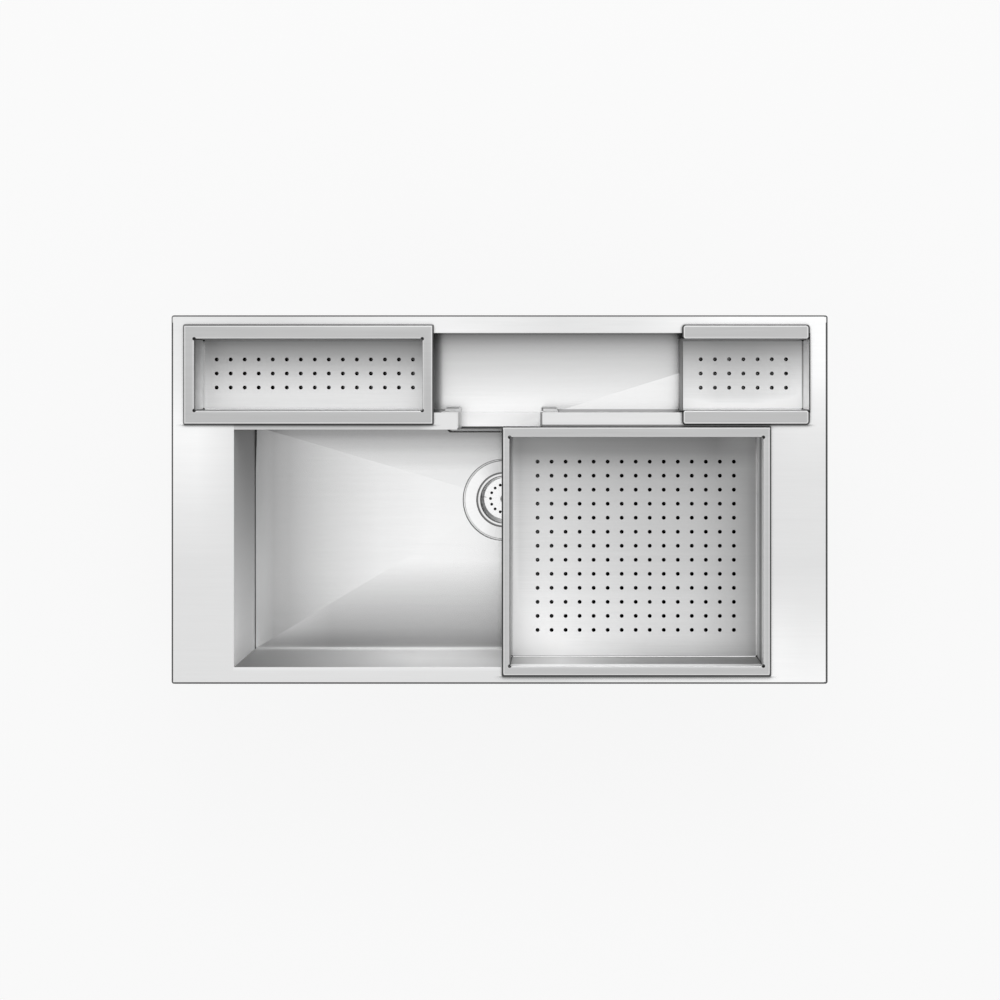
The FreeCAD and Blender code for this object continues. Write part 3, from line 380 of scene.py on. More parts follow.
class Finish:
    """A material in the making: its shader, and short calls for the nodes that finishes share."""

    def __init__(self, name):
        self.material = bpy.data.materials.new(name)
        self.material.use_nodes = True
        self.tree = self.material.node_tree
        self.surface = self.tree.nodes["Principled BSDF"]
        self.place = self.add("ShaderNodeTexCoord").outputs["Object"]
        normal = self.add("ShaderNodeNewGeometry").outputs["Normal"]
        self.x, self.y, self.z = self.add("ShaderNodeSeparateXYZ", [self.place]).outputs
        self.facing_x, self.facing_y, self.facing_z = self.add(
            "ShaderNodeSeparateXYZ", [normal]).outputs

    def wire(self, source, socket):
        """Link a source to a socket, or set a number or a colour on it."""
        if isinstance(source, (int, float, tuple)):
            socket.default_value = source
        else:
            self.tree.links.new(source, socket)

    def add(self, kind, inputs=(), **settings):
        """A node, its inputs given in order or by name."""
        item = self.tree.nodes.new(kind)
        for key, value in settings.items():
            setattr(item, key, value)
        for key, source in inputs.items() if isinstance(inputs, dict) else enumerate(inputs):
            self.wire(source, item.inputs[key])
        return item

    def set(self, **values):
        """Give the surface its colour, roughness or metal."""
        for name, value in values.items():
            self.wire(value, self.surface.inputs[name.replace("_", " ")])

    def work(self, operation, first, *others):
        """A math operation on one value, or on that value and each other one in turn."""
        for other in others or (0,):
            first = self.add("ShaderNodeMath", (first, other), operation=operation).outputs[0]
        return first

    def times(self, *values):
        return self.work("MULTIPLY", *values)

    def plus(self, *values):
        return self.work("ADD", *values)

    def minus(self, value, other):
        return self.work("SUBTRACT", value, other)

    def above(self, value, limit):
        return self.work("GREATER_THAN", value, limit)

    def below(self, value, limit):
        return self.work("LESS_THAN", value, limit)

    def size(self, value):
        return self.work("ABSOLUTE", value)

    def choose(self, factor, first, second):
        """first where factor is 0, second where it is 1."""
        return self.plus(self.times(first, self.minus(1, factor)), self.times(second, factor))

    def span(self, value, start, end, low=0.0, high=1.0):
        """Map start..end onto low..high, held at both ends."""
        return self.add("ShaderNodeMapRange", (value, start, end, low, high)).outputs[0]

    def spread(self, noise, low, high):
        """Map the range that a noise mostly has onto low..high."""
        return self.span(noise, 0.3, 0.7, low, high)

    def curve(self, value, stops):
        """A tone that follows (place, tone) stops along a value, held beyond both ends."""
        start, end = stops[0][0], stops[-1][0]
        ramp = self.add("ShaderNodeValToRGB", [self.span(value, start, end)])
        elements = ramp.color_ramp.elements
        for index, (spot, tone) in enumerate(stops):
            share = (spot - start) / (end - start)
            element = elements[index] if index < 2 else elements.new(share)
            element.position = share
            element.color = (tone, tone, tone, 1)
        return ramp.outputs[0]

    def looks(self, facing):
        """1 where a face looks along an axis, either way."""
        return self.above(self.size(facing), 0.5)

    def level(self, start, end):
        """0 on upright faces and 1 on level ones, with a blend from start to end."""
        return self.span(self.size(self.facing_z), start, end)

    def gaps(self, low, high, radius=0):
        """Distances past both pairs of sides of a plan rectangle, below 0 between them."""
        middle, half = (low + high) / 2, (high - low) / 2
        return [self.minus(self.size(self.minus(value, middle[axis])), half[axis] - radius)
                for axis, value in enumerate((self.x, self.y))]

    def distance(self, gaps):
        return self.work("SQRT", self.plus(*(self.times(gap, gap) for gap in gaps)))

    def inside(self, low, high, radius=0):
        """Distance in from the outline of a plan rectangle with round corners, below 0 outside."""
        gaps = self.gaps(low, high, radius)
        beyond = self.distance([self.work("MAXIMUM", gap, 0) for gap in gaps])
        within = self.work("MINIMUM", self.work("MAXIMUM", *gaps), 0)
        return self.minus(radius, self.plus(beyond, within))

    def corner_distance(self, low, high):
        """Plan distance from the nearest corner of a plan rectangle."""
        return self.distance(self.gaps(low, high))

    def shelter(self, reach, stops):
        """A tone that follows how open a spot is, from ambient occlusion: 0 shut in, 1 with nothing
        within reach. It paints shade into colour, or marks where painted shade goes.
        """
        item = self.add("ShaderNodeAmbientOcclusion", {"Distance": reach}, samples=8)
        return self.curve(item.outputs["AO"], stops)

    def noise(self, scale, detail, roughness, seed):
        mapping = self.add("ShaderNodeMapping", {
            "Vector": self.place, "Scale": scale, "Location": (seed, seed * 1.7, seed * 2.3)})
        return self.add("ShaderNodeTexNoise", {
            "Vector": mapping.outputs[0], "Scale": 1.0, "Detail": detail,
            "Roughness": roughness}).outputs[0]

    def tint(self, value, colour):
        """The grey value in a faint colour."""
        return self.add("ShaderNodeVectorMath", (value, colour), operation="MULTIPLY").outputs[0]

    def bump(self, height, strength, distance=SKIN_DEPTH):
        item = self.add("ShaderNodeBump", {"Strength": strength, "Distance": distance,
                                           "Height": height})
        self.set(Normal=item.outputs[0])


def brushed(finish, tone, grain=0.012, roughness=(0.34, 0.46), metallic=METALLIC, relief=0.05):
    """Satin steel: long fine grain in tone, roughness and height over a given tone."""
    fine = finish.noise((14.0, 1100.0, 1100.0), 2.0, 0.6, 3.1)
    broad = finish.noise((2.2, 190.0, 190.0), 3.0, 0.6, 7.7)
    shade = finish.times(tone, finish.spread(fine, 1 - grain, 1 + grain),
                         finish.spread(broad, 1 - grain * 0.7, 1 + grain * 0.7))
    finish.set(Base_Color=finish.tint(shade, STEEL_TINT), Metallic=metallic,
               Roughness=finish.spread(fine, *roughness))
    finish.bump(fine, relief)
    return finish.material


def turned_away(finish, level, fold, upright):
    """The level tone, with painted light and shade by how far the sheet turns from level: one
    tone on fold lines, another on upright sides.
    """
    return finish.times(level, finish.curve(finish.size(finish.facing_z), [
        (0, upright), (0.45, upright), (0.6, fold), (0.94, fold), (0.99, 1.0), (1.0, 1.0)]))


def deck_finish():
    """The deck: painted soft highlights along the back, the upper left and the two right corners,
    painted shadow in front of the trays, and a dark outer edge painted as shade."""
    finish = Finish("deck_brushed_steel")
    x, y = finish.x, finish.y
    low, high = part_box("deck_plate")
    # Painted soft highlights and shade: the deck lighter or darker in broad bands along each side.
    left = finish.curve(y, [
        (low.y, DECK_TONE), (-0.085, DECK_TONE), (-0.023, 0.79), (0.031, 0.855), (0.086, 0.915),
        (0.113, 0.905), (0.167, 0.82), (high.y, 0.765)])
    right = finish.curve(y, [
        (low.y, 0.93), (-0.192, 0.855), (-0.137, 0.775), (-0.09, DECK_TONE), (0.031, 0.74),
        (0.086, 0.775), (0.14, 0.855), (0.167, 0.925), (high.y, 0.94)])
    back = finish.curve(x, [
        (low.x, 0.77), (-0.375, 0.73), (-0.29, 0.72), (-0.113, 0.83), (-0.06, 0.82),
        (0.083, 0.715), (0.181, 0.745), (0.246, 0.825), (0.311, 0.92), (high.x, 0.92)])
    front = finish.curve(x, [
        (low.x, DECK_TONE), (0.08, DECK_TONE), (0.14, 0.82), (0.3, 0.84), (0.38, 0.94),
        (high.x, 0.93)])
    middle = finish.choose(finish.span(y, -0.2, -0.1), front, DECK_TONE)
    middle = finish.choose(finish.span(y, 0.14, 0.2), middle, back)
    sides = finish.choose(finish.span(x, -0.1, 0.1), left, right)
    tone = finish.choose(finish.span(finish.size(x), 0.35, 0.41), middle, sides)

    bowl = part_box("bowl_front_wall")
    bowl_y = bowl[0].y + SHEET
    # Painted highlight along the fold at the bowl's front edge.
    fold = finish.curve(y, [
        (bowl_y - 6 * MM, 1.0), (bowl_y - 3.5 * MM, 1.06), (bowl_y, 1.1), (bowl_y + MM, 1.0)])
    fold = finish.choose(finish.below(finish.size(x), bowl[1].x), 1.0, fold)

    # Painted shade from ambient occlusion round the trays' rims, and a painted shadow cast in front
    # of the large and long trays wherever a tray stands near.
    near = finish.shelter(0.008, [
        (0, 0.12), (0.5, 0.3), (0.62, 0.5), (0.74, 0.8), (0.88, 1.0), (1, 1.0)])
    beside = finish.shelter(0.012, [(0, 1.0), (0.93, 1.0), (0.985, 0.0), (1, 0.0)])
    for tray, shades in (("large_tray", (1, 0.8, 0.66, 0.54, 0.33, 0.33, 1)),
                         ("long_tray", (1, 0.95, 0.85, 0.6, 0.3, 0.3, 1))):
        rim_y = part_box(tray + "_frame")[0].y
        cast = [(rim_y - step * MM, shade) for step, shade in zip(TRAY_SHADE_STEPS, shades)]
        near = finish.times(near, finish.choose(beside, 1, finish.curve(y, cast)))

    # Painted shade: a dark band along the deck's turned-down outer edge.
    outer = finish.plus(finish.inside(low, high, PLAN_CORNER["deck"]),
                        finish.times(finish.above(y, high.y - 10 * MM), 0.7 * MM),
                        finish.times(finish.above(x, high.x - 5 * MM), -0.4 * MM))
    rim = finish.curve(outer, [(0, 0.07), (2.4 * MM, 0.07), (2.8 * MM, 1.0), (3.0 * MM, 1.0)])

    # Painted shade: dark lines on the deck along the spillway's cheeks.
    channel_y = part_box("channel_walls")[0].y + 2 * MM
    notch = finish.times(finish.above(y, 0), finish.below(y, channel_y))
    notch = finish.choose(notch, 1, finish.curve(finish.minus(x, SPILLWAY_HALF_LENGTH), [
        (-0.4 * MM, 1.0), (-0.3 * MM, 0.3), (1.7 * MM, 0.3), (2.2 * MM, 1.0)]))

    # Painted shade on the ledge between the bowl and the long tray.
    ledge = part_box("bowl_back_wall")[0].y
    ledge_shade = finish.times(finish.span(y, ledge - MM, ledge), finish.above(x, -0.36),
                         finish.span(y, ledge + 9 * MM, ledge + 11 * MM, 1, 0),
                         finish.span(x, -0.11, -0.09, 1, 0))
    tone = finish.times(tone, fold, near, rim, notch, finish.choose(ledge_shade, 1, 0.74))
    return brushed(finish, tone, roughness=(0.3, 0.4))


def cross_broken_tone(finish, low, high, apex, sides, front, back):
    """Painted light and shade on four flat facets that meet at the drain: the two side ones, front
    and back. Each has a tone curve from 0 at the drain to 1 at its wall, and a second tone that
    multiplies it."""
    shares = [finish.span(value, apex[axis], edge[axis])
              for axis, value in enumerate((finish.x, finish.y)) for edge in (low, high)]
    largest = finish.work("MAXIMUM", *shares)
    tone = 1.0
    for share, (stops, lift) in zip(shares, (sides, sides, front, back)):
        here = finish.above(share, finish.minus(largest, 0.0005))
        tone = finish.choose(here, tone, finish.times(finish.curve(share, stops), lift))
    return tone


def bowl_floor_finish():
    """The cross-broken floor: painted light along a path to the drain, and painted shade where
    the tray shuts it in.
    """
    finish = Finish("bowl_floor_brushed_steel")
    low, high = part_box("bowl_floor")
    wall = Vector((SHEET, SHEET, 0))
    low, high = low + wall, high - wall
    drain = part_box("strainer_cup")
    apex = (drain[0] + drain[1]) / 2
    # Painted light and shade: each facet's tone from the drain out to its wall.
    side = [(0, 0.98), (0.3, 0.97), (0.5, 0.88), (0.6, 0.79), (0.7, 0.7), (0.79, 0.6),
            (0.864, 0.51), (0.925, 0.51), (1, 0.78)]
    front = [(0, 0.97), (0.41, 0.95), (0.575, 0.72), (0.738, 0.55), (0.853, 0.44),
             (0.921, 0.345), (0.965, 0.31), (1, 0.38)]
    back = [(0, 0.96), (0.395, 0.9), (0.505, 0.78), (0.613, 0.72), (0.708, 0.6),
            (0.804, 0.51), (0.886, 0.37), (1, 0.31)]
    # Painted light: the side facets lighter near the front, the front facet lighter near its ends.
    side_lift = finish.curve(finish.y, [
        (low.y, 1.35), (low.y + 15 * MM, 1.2), (low.y + 30 * MM, 1.0), (low.y + 50 * MM, 0.93),
        (low.y + 110 * MM, 1.0)])
    ends = finish.minus(high.x, finish.size(finish.x))
    front_lift = finish.curve(ends, [
        (0, 1.7), (20 * MM, 1.5), (40 * MM, 1.35), (70 * MM, 1.18), (110 * MM, 1.0)])
    tone = cross_broken_tone(finish, low, high, apex, (side, side_lift), (front, front_lift),
                             (back, 1))
    # Painted highlight along the bend at the foot of the front wall.
    tone = finish.choose(finish.below(finish.y, low.y + 2.8 * MM), tone, 0.7)

    # Painted shade: a dark line along the floor's foot at the side walls and the back wall, and
    # dark edges round the drain's recess.
    seam = finish.curve(finish.y, [(low.y, 1.5 * MM), (0.03, 1.5 * MM), (high.y, 3.4 * MM)])
    line = finish.span(finish.work("DIVIDE", ends, seam), 0.9, 1.1, 0.1, 1.0)
    back_line = finish.curve(finish.y, [
        (high.y - 3.5 * MM, 1.0), (high.y - 2.4 * MM, 0.5), (high.y, 0.45)])
    fold = finish.curve(finish.facing_z, [(0.0, 0.3), (0.97, 0.3), (0.995, 1.0), (1.0, 1.0)])
    recess = finish.below(finish.corner_distance(apex, apex), STRAINER_RECESS)
    # Painted shade from ambient occlusion under the large tray, which makes its holes look black.
    shut = finish.shelter(0.3, [(0, 0.02), (0.15, 0.03), (0.3, 0.2), (0.42, 1.0), (1, 1.0)])
    under_tray = finish.span(finish.x, -10 * MM, 10 * MM)
    tone = finish.times(tone, line, back_line, finish.choose(recess, 1, fold),
                        finish.choose(under_tray, 1, shut))
    tone = finish.choose(finish.below(finish.facing_z, -0.5), tone, OUTSIDE_TONE)
    return brushed(finish, tone, roughness=(0.25, 0.27), relief=0.01)


def bowl_wall_finish():
    """The bowl's walls in painted shade: the side ones darken to the back, the long ones to their
    ends and lighten towards the floor.
    """
    finish = Finish("bowl_wall_brushed_steel")
    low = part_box("bowl_front_wall")[0]
    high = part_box("bowl_back_wall")[1]
    side = finish.curve(finish.y, [
        (low.y, 1.0), (-0.19, 1.0), (-0.135, 0.8), (-0.05, 0.55), (0.035, 0.38), (0.085, 0.33),
        (high.y, 0.32)])
    along = finish.curve(finish.size(finish.x), [
        (0, 1.0), (0.115, 1.0), (0.155, 0.86), (0.2, 0.67), (0.285, 0.41), (0.335, 0.29),
        (high.x, 0.26)])
    foot = finish.curve(finish.z, [
        (low.z, 1.7), (low.z + 9 * MM, 1.6), (low.z + 20 * MM, 1.25), (low.z + 60 * MM, 1.1),
        (low.z + 110 * MM, 0.95), (high.z, 0.75)])
    tone = finish.choose(finish.looks(finish.facing_x), finish.times(along, foot), side)
    outside = finish.below(finish.inside(low, Vector((-low.x, high.y, 0))), 0.3 * MM)
    return brushed(finish, finish.choose(outside, tone, OUTSIDE_TONE), roughness=(0.5, 0.6),
                   metallic=0.35, relief=0.02)


def channel_finish():
    """Channel in painted light and shade: dark along its back edge, a light facet at each end,
    shade beside and under the trays.
    """
    finish = Finish("channel_brushed_steel")
    low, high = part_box("channel_floor")
    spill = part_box("spillway_liner")[0].y
    # Painted shade: the floor darkens towards the back wall.
    along_y = finish.curve(finish.y, [
        (spill, 1.0), (0.131, 0.98), (0.142, 0.92), (0.1645, 0.8), (0.187, 0.685), (0.198, 0.61),
        (0.2094, 0.485), (0.2178, 0.345), (0.2245, 0.23), (high.y, 0.1)])
    reach_x = finish.span(finish.size(finish.x), 0, high.x - SHEET)
    reach_y = finish.span(finish.y, spill, high.y - SHEET)
    tone = finish.choose(finish.above(reach_x, reach_y), along_y, 0.96)
    # Painted shade: a dark line along the floor's foot at the front wall.
    front = low.y + SHEET
    seam = finish.curve(finish.y, [
        (front, 0.55), (front + 3 * MM, 0.5), (front + 3.6 * MM, 1.0), (front + 5 * MM, 1.0)])
    beside_spillway = finish.above(finish.size(finish.x), SPILLWAY_HALF_LENGTH)
    # Painted shadow beside the long tray where ambient occlusion finds a tray near, and painted
    # shade under the trays.
    tray_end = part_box("long_tray_frame")[1].x
    shade = finish.curve(finish.x, [
        (tray_end - 5 * MM, 0.48), (tray_end, 0.6), (tray_end + 3 * MM, 0.76),
        (tray_end + 6 * MM, 0.93), (tray_end + 8 * MM, 1.0), (tray_end + 12 * MM, 1.0)])
    beside = finish.shelter(0.06, [(0, 1.0), (0.78, 1.0), (0.92, 0.0), (1, 0.0)])
    under = finish.shelter(0.035, [(0, 0.02), (0.3, 0.04), (0.38, 1.0), (1, 1.0)])
    tone = finish.times(tone, finish.choose(beside_spillway, 1, seam),
                        finish.choose(beside, 1, shade), under)
    # Painted shade on the walls.
    wall = finish.choose(finish.looks(finish.facing_y), 0.45, 0.28)
    tone = finish.choose(finish.level(0.4, 0.97), wall, tone)
    outside = finish.work("MAXIMUM", finish.below(finish.facing_z, -0.5), finish.below(
        finish.inside(*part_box("channel_walls")), 0.3 * MM))
    return brushed(finish, finish.choose(outside, tone, OUTSIDE_TONE), roughness=(0.19, 0.21),
                   relief=0.01)


def spillway_finish():
    """The liner in painted light and shade: light floor, shade beside its cheeks and on the left
    cheek, a dark front edge painted as the shadow under its lip, and dark back edges on its
    feet.
    """
    finish = Finish("spillway_brushed_steel")
    low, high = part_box("spillway_liner")
    cheek = SPILLWAY_HALF_LENGTH
    # Painted shade on the floor beside the left cheek, and a dark line along the right one.
    shade = finish.curve(finish.x, [
        (-cheek, 0.74), (4 * MM - cheek, 0.87), (10 * MM - cheek, 1.0), (cheek - 2 * MM, 1.0),
        (cheek - 1.8 * MM, 0.25), (cheek + MM, 0.2)])
    # Painted shadow under the lip: a dark band at the front edge.
    lip = finish.curve(finish.y, [
        (low.y + 3 * MM, 0.04), (low.y + 3.6 * MM, 1.0), (low.y + 5 * MM, 1.0)])
    # Painted shade on the left cheek, darker towards the top.
    side = finish.curve(finish.z, [(low.z, 0.75), (high.z - 8 * MM, 0.36), (high.z, 0.26)])
    side = finish.choose(finish.above(finish.x, 0), side, 1)
    # Painted shade: a dark line along the back edge of each foot.
    foot = finish.curve(finish.y, [
        (high.y - 1.4 * MM, 0.8), (high.y - 1.2 * MM, 0.3), (high.y, 0.3)])
    up = finish.level(0.3, 0.9)
    outside = finish.above(finish.size(finish.x), cheek + 2.5 * MM)
    tone = finish.choose(outside, finish.choose(up, side, finish.times(shade, lip)),
                         finish.choose(up, 0.35, foot))
    return brushed(finish, tone, roughness=(0.4, 0.42), metallic=0.2, relief=0.01)


def overflow_finish():
    """The cover, painted dark as the shade under the spillway's lip."""
    finish = Finish("overflow_brushed_steel")
    return brushed(finish, turned_away(finish, 0.08, 0.6, 1.8), grain=0.02)


def tray_wall_tone(finish, name, low, high, top):
    """A tray's inner walls, from its base's outline and height up to its rim, in painted shade:
    dark at the top, and with painted lights that differ from tray to tray."""
    foot = high.z
    wall = finish.curve(finish.z, [
        (foot, 0.6), (foot + 25 * MM, 0.42), (top - 15 * MM, 0.26), (top - 4 * MM, 0.16),
        (top, 0.16)])
    if name == "short_tray":
        return finish.choose(finish.looks(finish.facing_x), wall, 1)
    if name == "long_tray":
        # Painted light: the long tray's left wall lighter towards its foot.
        left = finish.curve(finish.z, [
            (foot, 1.0), (foot + 25 * MM, 0.74), (top - 15 * MM, 0.5), (top - 5 * MM, 0.2),
            (top, 0.16)])
        return finish.choose(finish.above(finish.facing_x, 0.5), wall, left)
    # Painted light and shade along the large tray's front wall, and a painted highlight near its
    # top.
    front = finish.curve(finish.x, [
        (low.x, 0.3), (0.0265, 0.345), (0.0824, 0.49), (0.138, 0.318), (0.194, 0.192),
        (0.25, 0.145), (0.306, 0.124), (high.x, 0.17)])
    front = finish.choose(finish.span(finish.z, top - 21 * MM, top - 17 * MM), front, 0.8)
    # Painted light and shade on the large tray's right wall: dark in the middle, light near the
    # foot and the top, lighter to the back.
    right = finish.times(
        finish.curve(finish.z, [
            (foot, 0.85), (foot + 26 * MM, 0.8), (foot + 38 * MM, 0.27), (foot + 55 * MM, 0.22),
            (foot + 62 * MM, 0.4), (foot + 68 * MM, 1.0), (top, 1.0)]),
        finish.curve(finish.y, [(low.y, 0.9), (0, 0.95), (high.y, 1.5)]))
    wall = finish.choose(finish.above(finish.facing_y, 0.5), finish.times(wall, 0.6), front)
    return finish.choose(finish.below(finish.facing_x, -0.5), wall, right)


def tray_frame_finish(name):
    """Folded rim with a painted dark outer edge and painted highlights on its folds, walls in
    painted shade that darkens to the rim, and painted shade over relief holes and seams in the
    inner corners."""
    finish = Finish(name + "_folded_steel")
    low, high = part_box(name + "_frame")
    inner_low, inner_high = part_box(name + "_base")
    depth = inner_high.y - inner_low.y
    edge = finish.inside(low, high, PLAN_CORNER[name])
    outward = finish.times(finish.inside(inner_low, inner_high), -1)
    flat, bright = (0.515, 1.12) if name == "large_tray" else (0.48, 1.3)
    back = 1
    if name == "large_tray":
        edge = finish.minus(edge, finish.curve(finish.y, [
            (low.y + 4 * MM, 0.9 * MM), (low.y + 5 * MM, 0.4 * MM), (high.y - 5 * MM, 0.4 * MM),
            (high.y - 4 * MM, -0.8 * MM)]))
        back = finish.span(finish.y, inner_high.y, inner_high.y + MM, 1.0, 0.95)
    # Painted shade and highlight across the rim: a dark outer edge, a light line inside it, then
    # the flat rim.
    rim = finish.curve(edge, [
        (0, 0.05), (1.8 * MM, 0.05), (2.2 * MM, 0.68), (3.1 * MM, 0.66), (3.8 * MM, flat),
        (4 * MM, flat)])
    # Painted highlight along the rim's inner fold.
    fold = finish.curve(outward, [
        (0, bright), (1.4 * MM, bright), (2.4 * MM, 1.04), (6 * MM, 0.99), (7 * MM, 1.0)])
    # Painted shade on faces that look to the back.
    facing_in = finish.span(finish.facing_y, 0.1, 0.4, 1.0, 0.78)
    # Painted shade on the foot, darker to the back.
    foot = finish.curve(finish.y, [
        (inner_low.y, 0.7), (inner_low.y + 0.15 * depth, 0.7), (inner_high.y - 0.1 * depth, 0.45),
        (inner_high.y, 0.2)])
    level = finish.choose(finish.below(outward, -0.1 * MM),
                          finish.times(rim, fold, facing_in, back), foot)
    # Painted shade on the outer lip.
    outer = finish.choose(finish.below(edge, 1.9 * MM), 0.5, 0.1)
    upright = finish.choose(finish.below(outward, 0.6 * MM), outer,
                            tray_wall_tone(finish, name, inner_low, inner_high, high.z))
    tone = finish.choose(finish.level(0.4, 0.7), upright, level)
    # Painted shade: dark spots at the inner corners and dark lines down the corner seams.
    ends = finish.work("MAXIMUM", finish.above(finish.z, high.z - 3 * MM),
                       finish.below(finish.z, inner_high.z + 3 * MM))
    reach = finish.plus(finish.times(ends, 1.4 * MM), 1.0 * MM)
    gap = finish.minus(finish.corner_distance(inner_low, inner_high), reach)
    tone = finish.times(tone, finish.span(gap, -0.1 * MM, 0.1 * MM, 0.05, 1.0))
    # Painted shade: a dark line along the tops of the short tray's ends.
    if name == "short_tray":
        end_tops = finish.times(finish.above(finish.z, high.z - 0.8 * MM),
                                finish.below(finish.gaps(inner_low, inner_high)[1], 0))
        tone = finish.choose(end_tops, tone, 0.1)
    return brushed(finish, tone, grain=0.025)


def tray_base_finish(name):
    """Perforated sheet in painted light and shade: darker to the back, painted lights across, and
    hole walls and underside painted dark as shade.
    """
    finish = Finish(name + "_base_steel")
    low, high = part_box(name + "_base")
    # Painted shade: each base darkens to the back.
    tones = {
        "large_tray": [(0, 0.28), (0.07, 0.3), (0.15, 0.46), (0.214, 0.51), (0.34, 0.56),
                       (0.6, 0.63), (0.85, 0.76), (0.95, 0.84), (1, 0.94)],
        "long_tray": [(0, 0.26), (0.1, 0.36), (0.3, 0.52), (0.55, 0.7), (0.8, 0.86), (1, 0.92)],
        "short_tray": [(0, 0.3), (0.1, 0.38), (0.3, 0.53), (0.55, 0.635), (0.8, 0.76), (1, 1.05)]}
    # Painted lights across the large and short bases.
    lights = {
        "large_tray": [(low.x, 1.9), (low.x + 5 * MM, 1.6), (low.x + 12 * MM, 1.38), (0.05, 1.3),
                       (0.12, 1.12), (0.1975, 1.0), (0.27, 0.92), (0.343, 0.69),
                       (high.x, 0.52)],
        "short_tray": [(low.x, 1.5), (low.x + 2 * MM, 1.25), (0.3, 1.05), (0.35, 1.05),
                       (0.4, 1.22), (high.x - 1.7 * MM, 1.4), (high.x - 1.3 * MM, 0.5),
                       (high.x, 0.5)]}
    depth = finish.span(finish.y, high.y, low.y)
    # Painted shade: hole walls and the underside dark, so the holes look black.
    hole_shade = finish.curve(finish.facing_z, [
        (-1, 0.1), (-0.6, 0.1), (0, 0.03), (0.5, 0.03), (0.75, 0.4), (0.97, 1.0), (1, 1.0)])
    tone = finish.times(finish.curve(depth, tones[name]), hole_shade)
    if name in lights:
        tone = finish.times(tone, finish.curve(finish.x, lights[name]))
    # Painted light lifting the large base's back right corner.
    if name == "large_tray":
        corner = finish.curve(depth, [(0, 2.0), (0.1, 1.45), (0.2, 1.1), (0.35, 1.0), (1, 1.0)])
        tone = finish.times(tone, finish.choose(finish.span(finish.x, 0.3, high.x), 1, corner))
    return brushed(finish, tone, grain=0.025)


def strainer_finish(name, shut_radius):
    """Bright polished steel with faint rays, dark rings painted as shade at the gaps round the
    basket, painted light and shade on the flange, and painted shade within the shut radius.
    """
    finish = Finish(name)
    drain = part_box("strainer_cup")
    middle = (drain[0] + drain[1]) / 2
    turn = finish.work("ARCTAN2", finish.minus(finish.y, middle.y),
                       finish.minus(finish.x, middle.x))
    reach = finish.corner_distance(middle, middle)
    rays = finish.add("ShaderNodeTexNoise", noise_dimensions="1D")
    finish.wire(finish.times(turn, 4), rays.inputs["W"])
    finish.wire(3.0, rays.inputs["Detail"])
    # Painted shade: dark rings at the basket's edge and at the cup's mouth.
    rings = finish.curve(reach, [
        (0, 1.0), (33.2 * MM, 1.0), (33.6 * MM, 0.1), (34.6 * MM, 0.1), (35.0 * MM, 0.85),
        (37.2 * MM, 0.9), (37.7 * MM, 0.2), (39.6 * MM, 0.2), (40.2 * MM, 0.97),
        (60 * MM, 1.0)])
    # Painted shade deep in the cup, within the shut radius.
    if shut_radius:
        rings = finish.choose(finish.below(reach, shut_radius), rings, 0.03)
    # Painted light and shade round the flange, darkest on the side towards +x.
    flange = finish.curve(turn, [
        (-math.pi, 1.0), (-2.2, 0.97), (-1.57, 0.75), (1.57, 0.62), (1.9, 0.72), (2.4, 0.97),
        (math.pi, 1.0)])
    flange = finish.choose(finish.above(reach, 40 * MM), 1, flange)
    level = finish.times(finish.spread(rays.outputs[0], 0.96, 1.0), rings, flange)
    fine = finish.noise((600, 600, 600), 2.0, 0.5, 1.3)
    finish.set(Base_Color=finish.tint(turned_away(finish, level, 0.9, 1.0), STEEL_TINT),
               Roughness=finish.spread(fine, 0.12, 0.18), Metallic=finish.curve(
                   finish.facing_z, [(0, 0.1), (0.6, 0.15), (0.95, 1.0), (1, 1.0)]))
    return finish.material


def skin_finish(name, colour, roughness, grain, tones=(0.93, 1.05), seed=2.0, relief=0.15,
                metallic=0.0):
    """One colour with a fine skin, as on moulded plastic, rubber and zinc plating."""
    finish = Finish(name)
    skin = finish.noise((grain, grain, grain), 3.0, 0.6, seed)
    finish.set(Base_Color=finish.tint(finish.spread(skin, *tones), colour), Metallic=metallic,
               Roughness=finish.spread(skin, *roughness))
    finish.bump(skin, relief)
    return finish.material


def felt_finish():
    finish = Finish("bitumen_felt")
    fibre = finish.noise((900, 900, 900), 4.0, 0.7, 4.0)
    cloud = finish.noise((40, 40, 40), 2.0, 0.5, 6.0)
    tone = finish.times(finish.spread(fibre, 0.08, 0.15), finish.spread(cloud, 0.85, 1.15))
    finish.set(Base_Color=finish.tint(tone, (1.0, 0.99, 0.97)), Roughness=0.9)
    finish.bump(fibre, 0.5, 0.3 * MM)
    return finish.material


# Deck


def make_deck(material):
    """The deck sheet, its turned edge splayed a little and its edges eased."""
    shape = merged_copy("deck_plate")
    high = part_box("deck_plate")[1]
    for vert in shape.verts:
        if vert.co.z > high.z - 0.1 * MM:
            for axis in (0, 1):
                if abs(vert.co[axis]) > high[axis] - 5 * MM:
                    vert.co[axis] -= math.copysign(DECK_SPLAY, vert.co[axis])
    item = object_from("deck_plate_finished", shape)
    fit(item, "deck_plate", material)
    eased(item, EASED_EDGE)
    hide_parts("deck_plate")


# Trays


